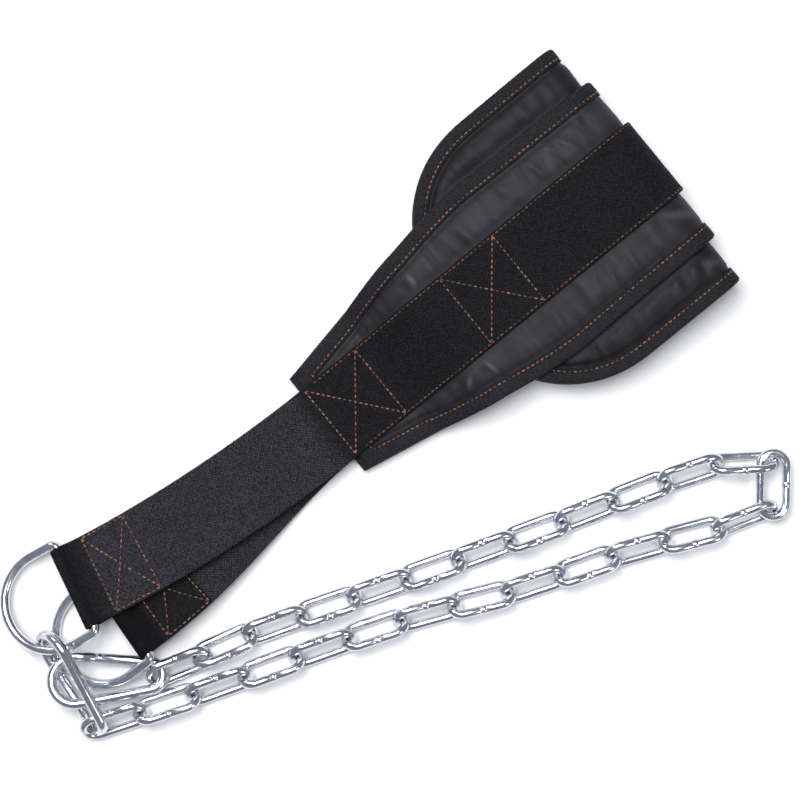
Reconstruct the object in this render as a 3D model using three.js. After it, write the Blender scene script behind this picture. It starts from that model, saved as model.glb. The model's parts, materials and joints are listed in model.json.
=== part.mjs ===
// A folded dip belt with its chain, lying flat.
// Millimetres, +Z up. The origin is on the floor under the middle of the part.
import * as THREE from 'three';

// Gap kept between pieces that touch on the real belt
const GAP = 0.3;

// Webbing that runs the whole length of the belt
const WEB_WIDTH = 50;
const WEB_THICK = 2;
const WEB_FREE_LENGTH = 158;
const WEB_TAIL_LENGTH = 46;
const WEB_SIDE_CLEARANCE = 0.7;

// Outer strip, a thin padded panel that the webbing is sewn to
const STRIP_HALF_LENGTH = 232;
const STRIP_WIDTH = 115;
const STRIP_THICK = 4;
const STRIP_RIM_THICK = 1.2;
const STRIP_TAPE_WIDTH = 8.5;

// Lumbar pad, the wide panel on the inner side
const PAD_HALF_LENGTH = 138;
const PAD_WIDTH = 168;
const PAD_THICK = 7;
const PAD_RIM_THICK = 3;
const PAD_TAPE_WIDTH = 7.8;

// Binding tape folded round the edges of strip and pad
const TAPE_THICK = 0.9;
const TAPE_GAP = 0.45;
const RIM_RAMP = 2;
const RIM_SLACK = 1.4;

// The fold at the middle of the belt, and how the upper half lies on the lower
const FOLD_RADIUS = 6;
const FOLD_SETTLE_LENGTH = 118;
const LAYERS_APART = 2.5;
const DROOP_LENGTH = 46;

// Metal rings at the two ends of the webbing
const RING_WIRE = 5.6;
const RING_DEPTH = 45;
const RING_CORNER_RADIUS = 4;

// Spring hooks
const HOOK_WIRE = 6.2;
const HOOK_LENGTH = 70;
const HOOK_WIDTH = 33.2;
const HOOK_NARROW_WIDTH = 22.2;
const GATE_SETBACK = 11;
const GATE_PIVOT_SETBACK = 3;
const GATE_GAP = 0.4;

// Chain links
const LINK_WIRE = 5;
const LINK_LENGTH = 42;
const LINK_WIDTH = 20;
const LINK_COUNT = 26;
const LINK_SIDES = 6;
const LINK_ARC_STEPS = 5;

// Where the belt lies: its direction, and the place of the fold's outer edge
const BELT_HEADING = THREE.MathUtils.degToRad(39.3);
const FOLD_EDGE_ALONG = 201.5;
const BELT_ASIDE = -15.4;

// Outline of the strip: share of its half length, and share of its full width there
const STRIP_OUTLINE = [
  { along: 0, wide: 0.965 },
  { along: 0.16, wide: 0.975 },
  { along: 0.29, wide: 0.985 },
  { along: 0.41, wide: 1 },
  { along: 0.53, wide: 0.945 },
  { along: 0.63, wide: 0.875 },
  { along: 0.72, wide: 0.8 },
  { along: 0.86, wide: 0.69 },
  { along: 1, wide: 0.58 },
];

// Rounded end of the pad: where it starts, and how square it is
const PAD_END_START = 0.46;
const PAD_END_POWER = 2.2;
const PAD_END_FLAT = 0.14;

// Dents pressed into the outer faces of the two panels: their place in shares of half length
// and half width, then their size and depth in millimetres
const STRIP_DENTS = [
  { along: 0.13, across: -0.7, long: 9, wide: 20, dent: 0.7 },
  { along: 0.3, across: -0.66, long: 10, wide: 24, dent: 1 },
  { along: 0.52, across: -0.7, long: 10, wide: 18, dent: 0.8 },
  { along: 0.1, across: 0.7, long: 9, wide: 22, dent: 1 },
  { along: 0.24, across: 0.72, long: 10, wide: 20, dent: 0.7 },
  { along: 0.44, across: 0.7, long: 11, wide: 22, dent: 0.9 },
  { along: 0.66, across: 0.66, long: 10, wide: 16, dent: 0.7 },
];
const PAD_DENTS = [
  { along: 0.12, across: 0.84, long: 10, wide: 16, dent: 1.6 },
  { along: 0.3, across: -0.84, long: 12, wide: 14, dent: 1 },
  { along: 0.5, across: 0.8, long: 12, wide: 16, dent: 1 },
];

// Poses of rings and hooks: place in mm, then heading, pitch and roll in degrees
const POSES = {
  ring1: { x: -185.82, y: -107.28, z: 16.02, heading: 208.6, pitch: -7.21, roll: 10.49 },
  ring2: { x: -158.92, y: -125.64, z: 12.38, heading: 217.42, pitch: -10.78, roll: 7.49 },
  hook1: { x: -197.17, y: -146.25, z: 16.46, heading: -60.29, pitch: -5.25, roll: 58.14 },
  hook2: { x: -186.62, y: -161.14, z: 12.93, heading: 2.85, pitch: -5.35, roll: -10.94 },
};

// The chain's route on the floor, from the second hook round to the first
const CHAIN_ROUTE = [
  { x: -144.9, y: -161 },
  { x: -114, y: -147.6 },
  { x: -82, y: -133.6 },
  { x: -20.3, y: -111.9 },
  { x: 40, y: -90.2 },
  { x: 100, y: -67.9 },
  { x: 158.4, y: -45.1 },
  { x: 188, y: -36 },
  { x: 219.5, y: -34.2 },
  { x: 216.6, y: -62 },
  { x: 188.9, y: -72.3 },
  { x: 128.3, y: -88.6 },
  { x: 68.8, y: -109.4 },
  { x: 6.4, y: -125.9 },
  { x: -54.3, y: -146.9 },
  { x: -116.2, y: -169.4 },
  { x: -181, y: -190.6 },
];

// Links that lie otherwise than the walk along the route would put them: the two in the hooks
// and the three at the far turn
const SET_LINKS = {
  1: { x: -127.17, y: -153.83, z: 8.39, heading: 22.0, pitch: 2.08, roll: 43.92 },
  12: { x: 197.69, y: -36.33, z: 9.37, heading: 2.85, pitch: 0.01, roll: -60.09 },
  13: { x: 215.05, y: -48.73, z: 10.58, heading: -90.85, pitch: -1.27, roll: 2.15 },
  14: { x: 198.31, y: -68.36, z: 9.3, heading: -158.8, pitch: 0.05, roll: -59.1 },
  26: { x: -164.67, y: -185.43, z: 7.88, heading: 18.02, pitch: -0.18, roll: 42.48 },
};

// Everything below is worked out from the sizes above
const ringHalfWidth = (WEB_WIDTH + RING_WIRE) / 2 + WEB_SIDE_CLEARANCE;
const hookWideRadius = (HOOK_WIDTH - HOOK_WIRE) / 2;
const hookNarrowRadius = (HOOK_NARROW_WIDTH - HOOK_WIRE) / 2;
const hookSpan = HOOK_LENGTH - HOOK_WIRE - hookWideRadius - hookNarrowRadius;
const linkArcRadius = (LINK_WIDTH - LINK_WIRE) / 2;
const linkCornerRadius = linkArcRadius / Math.cos(Math.PI / (2 * LINK_ARC_STEPS));
const linkHalfSpan = (LINK_LENGTH - LINK_WIDTH) / 2;
const linkPitch = LINK_LENGTH - 2 * LINK_WIRE - GAP;

// Distances from the belt's inner face out to each layer
const stripInner = PAD_THICK + GAP;
const webMiddle = stripInner + STRIP_THICK + GAP + WEB_THICK / 2;
const stackThick = webMiddle + WEB_THICK / 2;
const foldCentreAlong = FOLD_EDGE_ALONG - FOLD_RADIUS - stackThick;

const smooth = (t) => THREE.MathUtils.smoothstep(t, 0, 1);

// Side profile of the belt's inner face, from the lower end round the fold to the upper end
function makeInnerProfile() {
  const reach = STRIP_HALF_LENGTH + 20;
  const step = 2;
  const points = [];
  for (let q = reach; q > 0; q -= step) {
    points.push(new THREE.Vector2(foldCentreAlong - q, stackThick));
  }
  const turns = 12;
  for (let i = 0; i <= turns; i += 1) {
    const angle = (i / turns - 0.5) * Math.PI;
    points.push(new THREE.Vector2(
      foldCentreAlong + FOLD_RADIUS * Math.cos(angle),
      stackThick + FOLD_RADIUS * (1 + Math.sin(angle)),
    ));
  }
  const middle = points.length - 1 - turns / 2;
  const droopStart = PAD_HALF_LENGTH - FOLD_RADIUS;
  const droop = 2 * stripInner + LAYERS_APART - GAP;
  for (let q = step; q < reach; q += step) {
    const settle = (2 * FOLD_RADIUS - LAYERS_APART) * smooth(q / FOLD_SETTLE_LENGTH);
    const drop = droop * smooth((q - droopStart) / DROOP_LENGTH);
    points.push(new THREE.Vector2(
      foldCentreAlong - q,
      stackThick + 2 * FOLD_RADIUS - settle - drop,
    ));
  }
  const lengths = [0];
  for (let i = 1; i < points.length; i += 1) {
    lengths.push(lengths[i - 1] + points[i].distanceTo(points[i - 1]));
  }
  const zero = lengths[middle];
  return { points, lengths: lengths.map((l) => l - zero) };
}

const profile = makeInnerProfile();
const beltAlong = new THREE.Vector3(Math.cos(BELT_HEADING), Math.sin(BELT_HEADING), 0);
const beltAcross = new THREE.Vector3(Math.sin(BELT_HEADING), -Math.cos(BELT_HEADING), 0);

// Point of the side profile at a length along it, with its direction
function profileAt(s) {
  const { points, lengths } = profile;
  let i = lengths.findIndex((l) => l > s);
  if (i < 1) i = i === 0 ? 1 : lengths.length - 1;
  const share = (s - lengths[i - 1]) / (lengths[i] - lengths[i - 1]);
  const tangentAt = (k) => {
    const before = points[Math.max(k - 1, 0)];
    const after = points[Math.min(k + 1, points.length - 1)];
    return after.clone().sub(before).normalize();
  };
  const point = points[i - 1].clone().lerp(points[i], share);
  const tangent = tangentAt(i - 1).lerp(tangentAt(i), share).normalize();
  return { point, tangent };
}

// Place in space of a point of the belt laid out flat:
// s along it from the fold, v across it, n out from its inner face
function bend(s, v, n) {
  const { point, tangent } = profileAt(s);
  const along = point.x + n * tangent.y;
  const up = point.y - n * tangent.x;
  return new THREE.Vector3()
    .addScaledVector(beltAlong, along)
    .addScaledVector(beltAcross, v + BELT_ASIDE)
    .setZ(up);
}

// Closed solid from rings of points, with flat ends or joined end to start
function skin(rings, closed) {
  const size = rings[0].length;
  const positions = rings.flat().flatMap((p) => [p.x, p.y, p.z]);
  const index = [];
  const spans = closed ? rings.length : rings.length - 1;
  for (let i = 0; i < spans; i += 1) {
    const a = i * size;
    const b = ((i + 1) % rings.length) * size;
    for (let j = 0; j < size; j += 1) {
      const k = (j + 1) % size;
      index.push(a + j, b + j, a + k, a + k, b + j, b + k);
    }
  }
  if (!closed) {
    const last = (rings.length - 1) * size;
    for (const [base, flip] of [[0, false], [last, true]]) {
      const centre = positions.length / 3;
      const ring = rings[base / size];
      const middle = ring.reduce((sum, p) => sum.add(p), new THREE.Vector3()).divideScalar(size);
      positions.push(middle.x, middle.y, middle.z);
      for (let j = 0; j < size; j += 1) {
        const k = (j + 1) % size;
        if (flip) index.push(centre, base + k, base + j);
        else index.push(centre, base + j, base + k);
      }
    }
  }
  const geometry = new THREE.BufferGeometry();
  geometry.setAttribute('position', new THREE.Float32BufferAttribute(positions, 3));
  geometry.setIndex(index);
  if (signedVolume(positions, index) < 0) {
    for (let i = 0; i < index.length; i += 3) {
      [index[i], index[i + 1]] = [index[i + 1], index[i]];
    }
    geometry.setIndex(index);
  }
  geometry.computeVertexNormals();
  return geometry;
}

function signedVolume(positions, index) {
  let sum = 0;
  const corner = (i) => new THREE.Vector3().fromArray(positions, 3 * index[i]);
  for (let i = 0; i < index.length; i += 3) {
    sum += corner(i).dot(corner(i + 1).cross(corner(i + 2)));
  }
  return sum;
}

// Round wire swept along a flat curve in the local XY plane
function sweepWire(points, wire, sides, closed) {
  const up = new THREE.Vector3(0, 0, 1);
  const rings = points.map((p, i) => {
    const count = points.length;
    const before = points[closed ? (i + count - 1) % count : Math.max(i - 1, 0)];
    const after = points[closed ? (i + 1) % count : Math.min(i + 1, count - 1)];
    const tangent = after.clone().sub(before).normalize();
    const out = new THREE.Vector3().crossVectors(tangent, up);
    return circleRing(p, out, up, wire / 2, sides);
  });
  return skin(rings, closed);
}

function circleRing(centre, out, up, radius, sides) {
  return Array.from({ length: sides }, (_, j) => {
    const angle = (2 * Math.PI * j) / sides;
    return centre.clone()
      .addScaledVector(out, radius * Math.cos(angle))
      .addScaledVector(up, radius * Math.sin(angle));
  });
}

// Points of an arc in the local XY plane, angles in degrees
function arcPoints(x, y, radius, from, to, steps) {
  return Array.from({ length: steps + 1 }, (_, i) => {
    const angle = THREE.MathUtils.degToRad(from + ((to - from) * i) / steps);
    return new THREE.Vector3(x + radius * Math.cos(angle), y + radius * Math.sin(angle), 0);
  });
}

// Half width of each panel at a length from the fold
function stripHalfWidth(s) {
  const share = Math.min(Math.abs(s) / STRIP_HALF_LENGTH, 1);
  const i = Math.max(STRIP_OUTLINE.findIndex((row) => row.along >= share), 1);
  const a = STRIP_OUTLINE[i - 1];
  const b = STRIP_OUTLINE[i];
  const t = (share - a.along) / (b.along - a.along);
  return (STRIP_WIDTH / 2) * THREE.MathUtils.lerp(a.wide, b.wide, t);
}

function padHalfWidth(s) {
  const start = PAD_END_START * PAD_HALF_LENGTH;
  const share = Math.max(Math.abs(s) - start, 0) / (PAD_HALF_LENGTH - start);
  const round = Math.max(1 - share ** PAD_END_POWER, 0) ** (1 / PAD_END_POWER);
  return (PAD_WIDTH / 2) * Math.max(round, PAD_END_FLAT);
}

// Lengths from the fold at which a piece has its sections: closer at the fold, then evenly,
// then at the given distances from its end
function stationsOf(halfLength, step, endInsets) {
  const foldArc = (FOLD_RADIUS * Math.PI) / 2;
  const half = [0, foldArc / 3, (2 * foldArc) / 3, foldArc, 1.4 * foldArc];
  const from = half[half.length - 1];
  const to = halfLength - endInsets[0];
  const count = Math.round((to - from) / step);
  for (let i = 1; i <= count; i += 1) half.push(from + ((to - from) * i) / count);
  for (const inset of endInsets.slice(1)) half.push(halfLength - inset);
  return [...half.slice(1).reverse().map((s) => -s), ...half];
}

// Edge of a panel laid out flat, as a closed row of points
function outlineOf({ stations, halfWidth }) {
  return [
    ...stations.map((s) => new THREE.Vector2(s, halfWidth(s))),
    ...[...stations].reverse().map((s) => new THREE.Vector2(s, -halfWidth(s))),
  ];
}

function distanceToOutline(outline, s, v) {
  return outline.reduce((least, a, i) => {
    const side = outline[(i + 1) % outline.length].clone().sub(a);
    const off = new THREE.Vector2(s, v).sub(a);
    const share = THREE.MathUtils.clamp(off.dot(side) / side.lengthSq(), 0, 1);
    return Math.min(least, off.addScaledVector(side, -share).length());
  }, Infinity);
}

// Padded panel with a thin rim that its binding tape grips
function makePanel(panel) {
  const { stations, halfWidth, halfLength, inner, thick, rim, tape, dents } = panel;
  const middle = inner + thick / 2;
  const rimInset = tape + RIM_SLACK;
  const outline = outlineOf(panel);
  const swell = (s, v) => smooth((distanceToOutline(outline, s, v) - rimInset) / RIM_RAMP);
  const dent = (s, v) => dents.reduce((sum, row) => {
    const da = (Math.abs(s) - row.along * halfLength) / row.long;
    const dc = (v * Math.sign(s || 1) - row.across * halfWidth(s)) / row.wide;
    return sum + row.dent * Math.exp(-da * da - dc * dc);
  }, 0);
  const rings = stations.map((s) => {
    const w = halfWidth(s);
    const slant = Math.hypot(1, halfWidth(s + 0.5) - halfWidth(s - 0.5));
    const flank = Math.max(w - rimInset * slant, 0.5 * w);
    const field = Math.max(w - (rimInset + RIM_RAMP) * slant, 0.4 * w);
    const half = (v) => THREE.MathUtils.lerp(rim / 2, thick / 2, swell(s, v));
    const outer = (v) => bend(s, v, middle + half(v) - dent(s, v) * swell(s, v));
    return [
      bend(s, -w, middle + rim / 2),
      bend(s, -flank, middle + rim / 2),
      outer(-field),
      outer(-0.5 * field),
      outer(0),
      outer(0.5 * field),
      outer(field),
      bend(s, flank, middle + rim / 2),
      bend(s, w, middle + rim / 2),
      bend(s, w, middle - rim / 2),
      bend(s, flank, middle - rim / 2),
      bend(s, field, middle - half(field)),
      bend(s, 0, middle - half(0)),
      bend(s, -field, middle - half(-field)),
      bend(s, -flank, middle - rim / 2),
      bend(s, -w, middle - rim / 2),
    ];
  });
  return skin(rings, false);
}

// Binding tape folded over the rim of a panel, all the way round
function makeBinding(panel) {
  const { inner, thick, rim, tape } = panel;
  const middle = inner + thick / 2;
  const outline = outlineOf(panel);
  const count = outline.length;
  const cavity = rim / 2 + TAPE_GAP;
  const outside = cavity + TAPE_THICK;
  const section = [
    { inset: tape, n: outside },
    { inset: 0, n: outside },
    { inset: -TAPE_GAP - TAPE_THICK, n: outside * 0.5 },
    { inset: -TAPE_GAP - TAPE_THICK, n: -outside * 0.5 },
    { inset: 0, n: -outside },
    { inset: tape, n: -outside },
    { inset: tape, n: -cavity },
    { inset: -TAPE_GAP, n: -cavity },
    { inset: -TAPE_GAP, n: cavity },
    { inset: tape, n: cavity },
  ];
  const rings = outline.map((p, i) => {
    const before = p.clone().sub(outline[(i + count - 1) % count]).normalize();
    const after = outline[(i + 1) % count].clone().sub(p).normalize();
    const n1 = new THREE.Vector2(before.y, -before.x);
    const n2 = new THREE.Vector2(after.y, -after.x);
    const inward = n1.clone().add(n2).divideScalar(1 + n1.dot(n2));
    return section.map(({ inset, n }) => {
      const at = p.clone().addScaledVector(inward, inset);
      return bend(at.x, at.y, middle + n);
    });
  });
  return skin(rings, true);
}

const stripRimInset = STRIP_TAPE_WIDTH + RIM_SLACK;
const padRimInset = PAD_TAPE_WIDTH + RIM_SLACK;
const padEndInsets = [0.5, 0.38, 0.28, 0.2, 0.14].map((share) => share * PAD_HALF_LENGTH);

const strip = {
  stations: stationsOf(STRIP_HALF_LENGTH, 13, [stripRimInset + RIM_RAMP, stripRimInset, 0]),
  halfWidth: stripHalfWidth,
  halfLength: STRIP_HALF_LENGTH,
  inner: stripInner,
  thick: STRIP_THICK,
  rim: STRIP_RIM_THICK,
  tape: STRIP_TAPE_WIDTH,
  dents: STRIP_DENTS,
};
const pad = {
  stations: stationsOf(PAD_HALF_LENGTH, 11, [
    ...padEndInsets,
    padRimInset + RIM_RAMP,
    padRimInset,
    padRimInset / 2,
    0,
  ]),
  halfWidth: padHalfWidth,
  halfLength: PAD_HALF_LENGTH,
  inner: 0,
  thick: PAD_THICK,
  rim: PAD_RIM_THICK,
  tape: PAD_TAPE_WIDTH,
  dents: PAD_DENTS,
};

// Turning of a ring or hook from its local axes into the part's
function poseMatrix({ x, y, z, heading, pitch, roll }) {
  const rad = THREE.MathUtils.degToRad;
  const turn = new THREE.Matrix4().makeRotationZ(rad(heading))
    .multiply(new THREE.Matrix4().makeRotationY(rad(-pitch)))
    .multiply(new THREE.Matrix4().makeRotationX(rad(roll)));
  return turn.setPosition(x, y, z);
}

// Webbing frames: a point, a direction across and a direction out of the belt
function frameOnBelt(s) {
  const out = bend(s, 0, webMiddle + 1).sub(bend(s, 0, webMiddle));
  return { point: bend(s, 0, webMiddle), across: beltAcross.clone(), out };
}

// The free end of the webbing: from the strip's end down to the ring, round its bar and back
function freeEndFrames(pose, side) {
  const start = frameOnBelt(side * STRIP_HALF_LENGTH);
  const startAlong = beltAlong.clone().negate();
  const matrix = poseMatrix(pose);
  const bar = new THREE.Vector3().setFromMatrixPosition(matrix);
  const barAcross = new THREE.Vector3(0, 1, 0).transformDirection(matrix);
  const heading = THREE.MathUtils.degToRad(pose.heading);
  const endAlong = new THREE.Vector3(Math.cos(heading), Math.sin(heading), 0);
  endAlong.addScaledVector(barAcross, -endAlong.dot(barAcross)).normalize();
  const up = new THREE.Vector3().crossVectors(endAlong, barAcross);
  const out = up.multiplyScalar(Math.sign(up.z) * side);
  const loopRadius = (RING_WIRE + WEB_THICK) / 2 + GAP;
  const halfStack = (WEB_THICK + GAP) / 2;
  const neck = 2.6 * loopRadius;
  const local = (along, off) => bar.clone().addScaledVector(endAlong, along).addScaledVector(out, off);
  const arrive = local(-neck, halfStack);
  const pull = WEB_FREE_LENGTH / 3;
  const curve = new THREE.CubicBezierCurve3(
    start.point,
    start.point.clone().addScaledVector(startAlong, pull),
    arrive.clone().addScaledVector(endAlong, -pull),
    arrive,
  );
  const barOut = barAcross.clone();
  if (barOut.dot(beltAcross) < 0) barOut.negate();
  const frames = [];
  const steps = 16;
  for (let i = 1; i <= steps; i += 1) {
    const t = i / steps;
    const tangent = curve.getTangent(t);
    const across = beltAcross.clone().lerp(barOut, smooth(t));
    across.addScaledVector(tangent, -across.dot(tangent)).normalize();
    const normal = new THREE.Vector3().crossVectors(across, tangent);
    if (normal.z * side < 0) normal.negate();
    frames.push({ point: curve.getPoint(t), across, out: normal });
  }
  const tail = [];
  const length = curve.getLength();
  for (let i = steps - 2; length * (1 - i / steps) < WEB_TAIL_LENGTH - neck; i -= 1) {
    const f = frames[i - 1];
    const below = f.point.clone().addScaledVector(f.out, -2 * halfStack);
    tail.push({ point: below, across: f.across, out: f.out.clone().negate() });
  }
  const lean = THREE.MathUtils.radToDeg(Math.asin((loopRadius - halfStack) / neck));
  for (const angle of [90 + lean, 60, 30, 0, -30, -60, -90 - lean]) {
    const a = THREE.MathUtils.degToRad(angle);
    const along = Math.cos(a);
    const off = Math.sin(a);
    frames.push({
      point: local(loopRadius * along, loopRadius * off),
      across: barOut,
      out: endAlong.clone().multiplyScalar(along).addScaledVector(out, off),
    });
  }
  frames.push({ point: local(-neck, -halfStack), across: barOut, out: out.clone().negate() });
  return [...frames, ...tail];
}

function makeWebbing() {
  const along = strip.stations.map(frameOnBelt);
  const lower = freeEndFrames(POSES.ring2, -1);
  const upper = freeEndFrames(POSES.ring1, 1);
  const frames = [...lower.reverse(), ...along, ...upper];
  const half = WEB_WIDTH / 2;
  const bevel = WEB_THICK / 2;
  const section = [
    { v: -half, n: 0 },
    { v: -half + bevel, n: WEB_THICK / 2 },
    { v: half - bevel, n: WEB_THICK / 2 },
    { v: half, n: 0 },
    { v: half - bevel, n: -WEB_THICK / 2 },
    { v: -half + bevel, n: -WEB_THICK / 2 },
  ];
  const rings = frames.map(({ point, across, out }) => section.map(({ v, n }) => (
    point.clone().addScaledVector(across, v).addScaledVector(out, n)
  )));
  return skin(rings, false);
}

function makeRing() {
  const corner = RING_CORNER_RADIUS;
  const side = ringHalfWidth - corner;
  const points = [
    ...arcPoints(corner, -side, corner, 180, 270, 3),
    ...arcPoints(RING_DEPTH - ringHalfWidth, 0, ringHalfWidth, -90, 90, 14),
    ...arcPoints(corner, side, corner, 90, 180, 3),
  ];
  return sweepWire(points, RING_WIRE, 8, true);
}

// Hook: wide arc round the local origin, narrow arc further along X, gate on the +Y side
const hookLean = Math.asin((hookWideRadius - hookNarrowRadius) / hookSpan);
const hookSideAt = (x, radius) => new THREE.Vector3(
  x + radius * Math.sin(hookLean),
  radius * Math.cos(hookLean),
  0,
);
const sideStart = hookSideAt(0, hookWideRadius);
const sideEnd = hookSideAt(hookSpan, hookNarrowRadius);
const sideDirection = sideEnd.clone().sub(sideStart).normalize();
const gateTip = sideStart.clone().addScaledVector(sideDirection, GATE_SETBACK);
const gatePivot = sideEnd.clone().addScaledVector(sideDirection, -GATE_PIVOT_SETBACK);

function makeHookBody(gateSide) {
  const lean = THREE.MathUtils.radToDeg(hookLean);
  const nose = gateTip.clone().addScaledVector(sideDirection, -GATE_GAP);
  const heel = gatePivot.clone().addScaledVector(sideDirection, HOOK_WIRE / 2 + GATE_GAP);
  const points = [
    nose,
    ...arcPoints(0, 0, hookWideRadius, 90 - lean, 270 + lean, 12),
    ...arcPoints(hookSpan, 0, hookNarrowRadius, -90 + lean, 90 - lean, 8).slice(0, -1),
    heel,
  ];
  for (const p of points) p.y *= gateSide;
  return sweepWire(points, HOOK_WIRE, 8, false);
}

function makeGate(gateSide) {
  const radius = HOOK_WIRE / 2;
  const along = gateTip.clone().sub(gatePivot);
  const length = along.length();
  along.normalize();
  const rows = [
    { at: -0.97 * radius, r: 0.25 * radius },
    { at: -0.7 * radius, r: 0.7 * radius },
    { at: -0.35 * radius, r: 0.93 * radius },
    { at: 0, r: radius },
    { at: length - 0.2 * radius, r: radius },
    { at: length, r: 0.85 * radius },
  ];
  const up = new THREE.Vector3(0, 0, 1);
  const out = new THREE.Vector3().crossVectors(along, up);
  const rings = rows.map(({ at, r }) => (
    circleRing(gatePivot.clone().addScaledVector(along, at), out, up, r, 8)
  ));
  for (const ring of rings) for (const p of ring) p.y *= gateSide;
  return skin(rings, false);
}

// Link with corners just outside its arcs, so that the flats keep the true size
function makeLink() {
  const points = [
    ...arcPoints(linkHalfSpan, 0, linkCornerRadius, -90, 90, LINK_ARC_STEPS),
    ...arcPoints(-linkHalfSpan, 0, linkCornerRadius, 90, 270, LINK_ARC_STEPS),
  ];
  return sweepWire(points, LINK_WIRE, LINK_SIDES, true);
}

const steel = { roughness: 0.28, metalness: 1 };
const finishes = {
  webbing: new THREE.MeshStandardMaterial({ color: 0x242327, roughness: 0.95 }),
  panel: new THREE.MeshStandardMaterial({ color: 0x3e3e44, roughness: 0.6 }),
  tape: new THREE.MeshStandardMaterial({ color: 0x2c2c31, roughness: 0.85 }),
  zinc: new THREE.MeshStandardMaterial({ color: 0xc4c9d0, ...steel }),
};

function meshNamed(name, geometry, finish) {
  const mesh = new THREE.Mesh(geometry, finishes[finish]);
  mesh.name = name;
  return mesh;
}

function placed(mesh, pose) {
  mesh.applyMatrix4(poseMatrix(pose));
  return mesh;
}

// Walks the route with links of one length, each rolled an eighth of a turn,
// by turns to the left and to the right
function chainPoses() {
  const route = new THREE.CatmullRomCurve3(
    CHAIN_ROUTE.map(({ x, y }) => new THREE.Vector3(x, y, 0)),
    false,
    'centripetal',
  );
  const fine = route.getSpacedPoints(1600);
  const joints = [fine[0]];
  let k = 0;
  while (joints.length <= LINK_COUNT && k < fine.length) {
    const last = joints[joints.length - 1];
    while (k < fine.length && fine[k].distanceTo(last) < linkPitch) k += 1;
    if (k < fine.length) joints.push(fine[k]);
  }
  const roll = 45;
  return joints.slice(1).map((end, i) => {
    const start = joints[i];
    const middle = start.clone().add(end).divideScalar(2);
    const heading = THREE.MathUtils.radToDeg(Math.atan2(end.y - start.y, end.x - start.x));
    const lift = linkCornerRadius * Math.sin(THREE.MathUtils.degToRad(roll)) + LINK_WIRE / 2;
    const walked = { x: middle.x, y: middle.y, z: lift, heading, pitch: 0, roll: i % 2 ? -roll : roll };
    return SET_LINKS[i + 1] ?? walked;
  });
}

const belt = new THREE.Group();
belt.add(
  meshNamed('lumbar_pad', makePanel(pad), 'panel'),
  meshNamed('pad_binding', makeBinding(pad), 'tape'),
  meshNamed('outer_strip', makePanel(strip), 'panel'),
  meshNamed('strip_binding', makeBinding(strip), 'tape'),
  meshNamed('webbing', makeWebbing(), 'webbing'),
);

const metal = new THREE.Group();
metal.add(
  placed(meshNamed('d_ring_1', makeRing(), 'zinc'), POSES.ring1),
  placed(meshNamed('d_ring_2', makeRing(), 'zinc'), POSES.ring2),
  placed(meshNamed('carabiner_1_body', makeHookBody(-1), 'zinc'), POSES.hook1),
  placed(meshNamed('carabiner_1_gate', makeGate(-1), 'zinc'), POSES.hook1),
  placed(meshNamed('carabiner_2_body', makeHookBody(1), 'zinc'), POSES.hook2),
  placed(meshNamed('carabiner_2_gate', makeGate(1), 'zinc'), POSES.hook2),
);

const chain = new THREE.Group();
chainPoses().forEach((pose, i) => {
  const name = `chain_link_${String(i + 1).padStart(2, '0')}`;
  chain.add(placed(meshNamed(name, makeLink(), 'zinc'), pose));
});

const part = new THREE.Group();
part.add(belt, metal, chain);

// The origin goes under the middle of the part's box
part.updateMatrixWorld(true);
const box = new THREE.Box3().setFromObject(part, true);
const centre = box.getCenter(new THREE.Vector3());
part.position.set(-centre.x, -centre.y, -box.min.z);

export default part;
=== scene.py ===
import json
import math

import bmesh
import bpy
import numpy as np
from mathutils import Matrix, Vector, noise


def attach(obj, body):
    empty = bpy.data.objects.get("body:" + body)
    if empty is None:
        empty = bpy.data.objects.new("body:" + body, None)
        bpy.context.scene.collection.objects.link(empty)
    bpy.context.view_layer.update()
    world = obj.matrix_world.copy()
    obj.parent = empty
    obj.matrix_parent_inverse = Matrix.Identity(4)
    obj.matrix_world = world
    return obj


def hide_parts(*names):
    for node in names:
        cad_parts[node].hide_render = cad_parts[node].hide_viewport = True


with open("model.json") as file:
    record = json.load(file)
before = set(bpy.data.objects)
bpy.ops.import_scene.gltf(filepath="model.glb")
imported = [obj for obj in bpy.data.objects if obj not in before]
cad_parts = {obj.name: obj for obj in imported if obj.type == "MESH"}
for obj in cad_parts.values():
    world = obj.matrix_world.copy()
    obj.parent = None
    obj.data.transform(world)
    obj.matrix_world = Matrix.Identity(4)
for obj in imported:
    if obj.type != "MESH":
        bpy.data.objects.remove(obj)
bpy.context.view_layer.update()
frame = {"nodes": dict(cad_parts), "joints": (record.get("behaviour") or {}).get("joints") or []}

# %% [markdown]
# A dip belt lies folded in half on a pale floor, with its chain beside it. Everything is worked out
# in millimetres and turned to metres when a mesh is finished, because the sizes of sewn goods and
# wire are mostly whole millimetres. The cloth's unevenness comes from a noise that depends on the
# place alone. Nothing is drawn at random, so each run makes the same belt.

METRES = 0.001


def smooth_step(t):
    t = np.clip(t, 0, 1)
    return t * t * (3 - 2 * t)


print("frame nodes:", len(frame["nodes"]))

# %% [markdown]
# Each CAD node is a plain solid at the right place. Its copy, with doubled corners merged, tells
# where a wire piece lies: the three main directions of its corners are its long side, its short side
# and its thickness. Reading them from the frame keeps the fine pieces where the plain ones are. All
# other places are counted from the middle of the photo, and the link at the chain's turn, whose place
# there is known, tells how far that is from the middle of the frame.


# %% Where a flat wire piece lies
def corners_of(node):
    shape = bmesh.new()
    shape.from_mesh(frame["nodes"][node].data)
    bmesh.ops.remove_doubles(shape, verts=shape.verts, dist=1e-6)
    corners = np.array([v.co[:] for v in shape.verts]) / METRES
    shape.free()
    return corners


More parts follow.
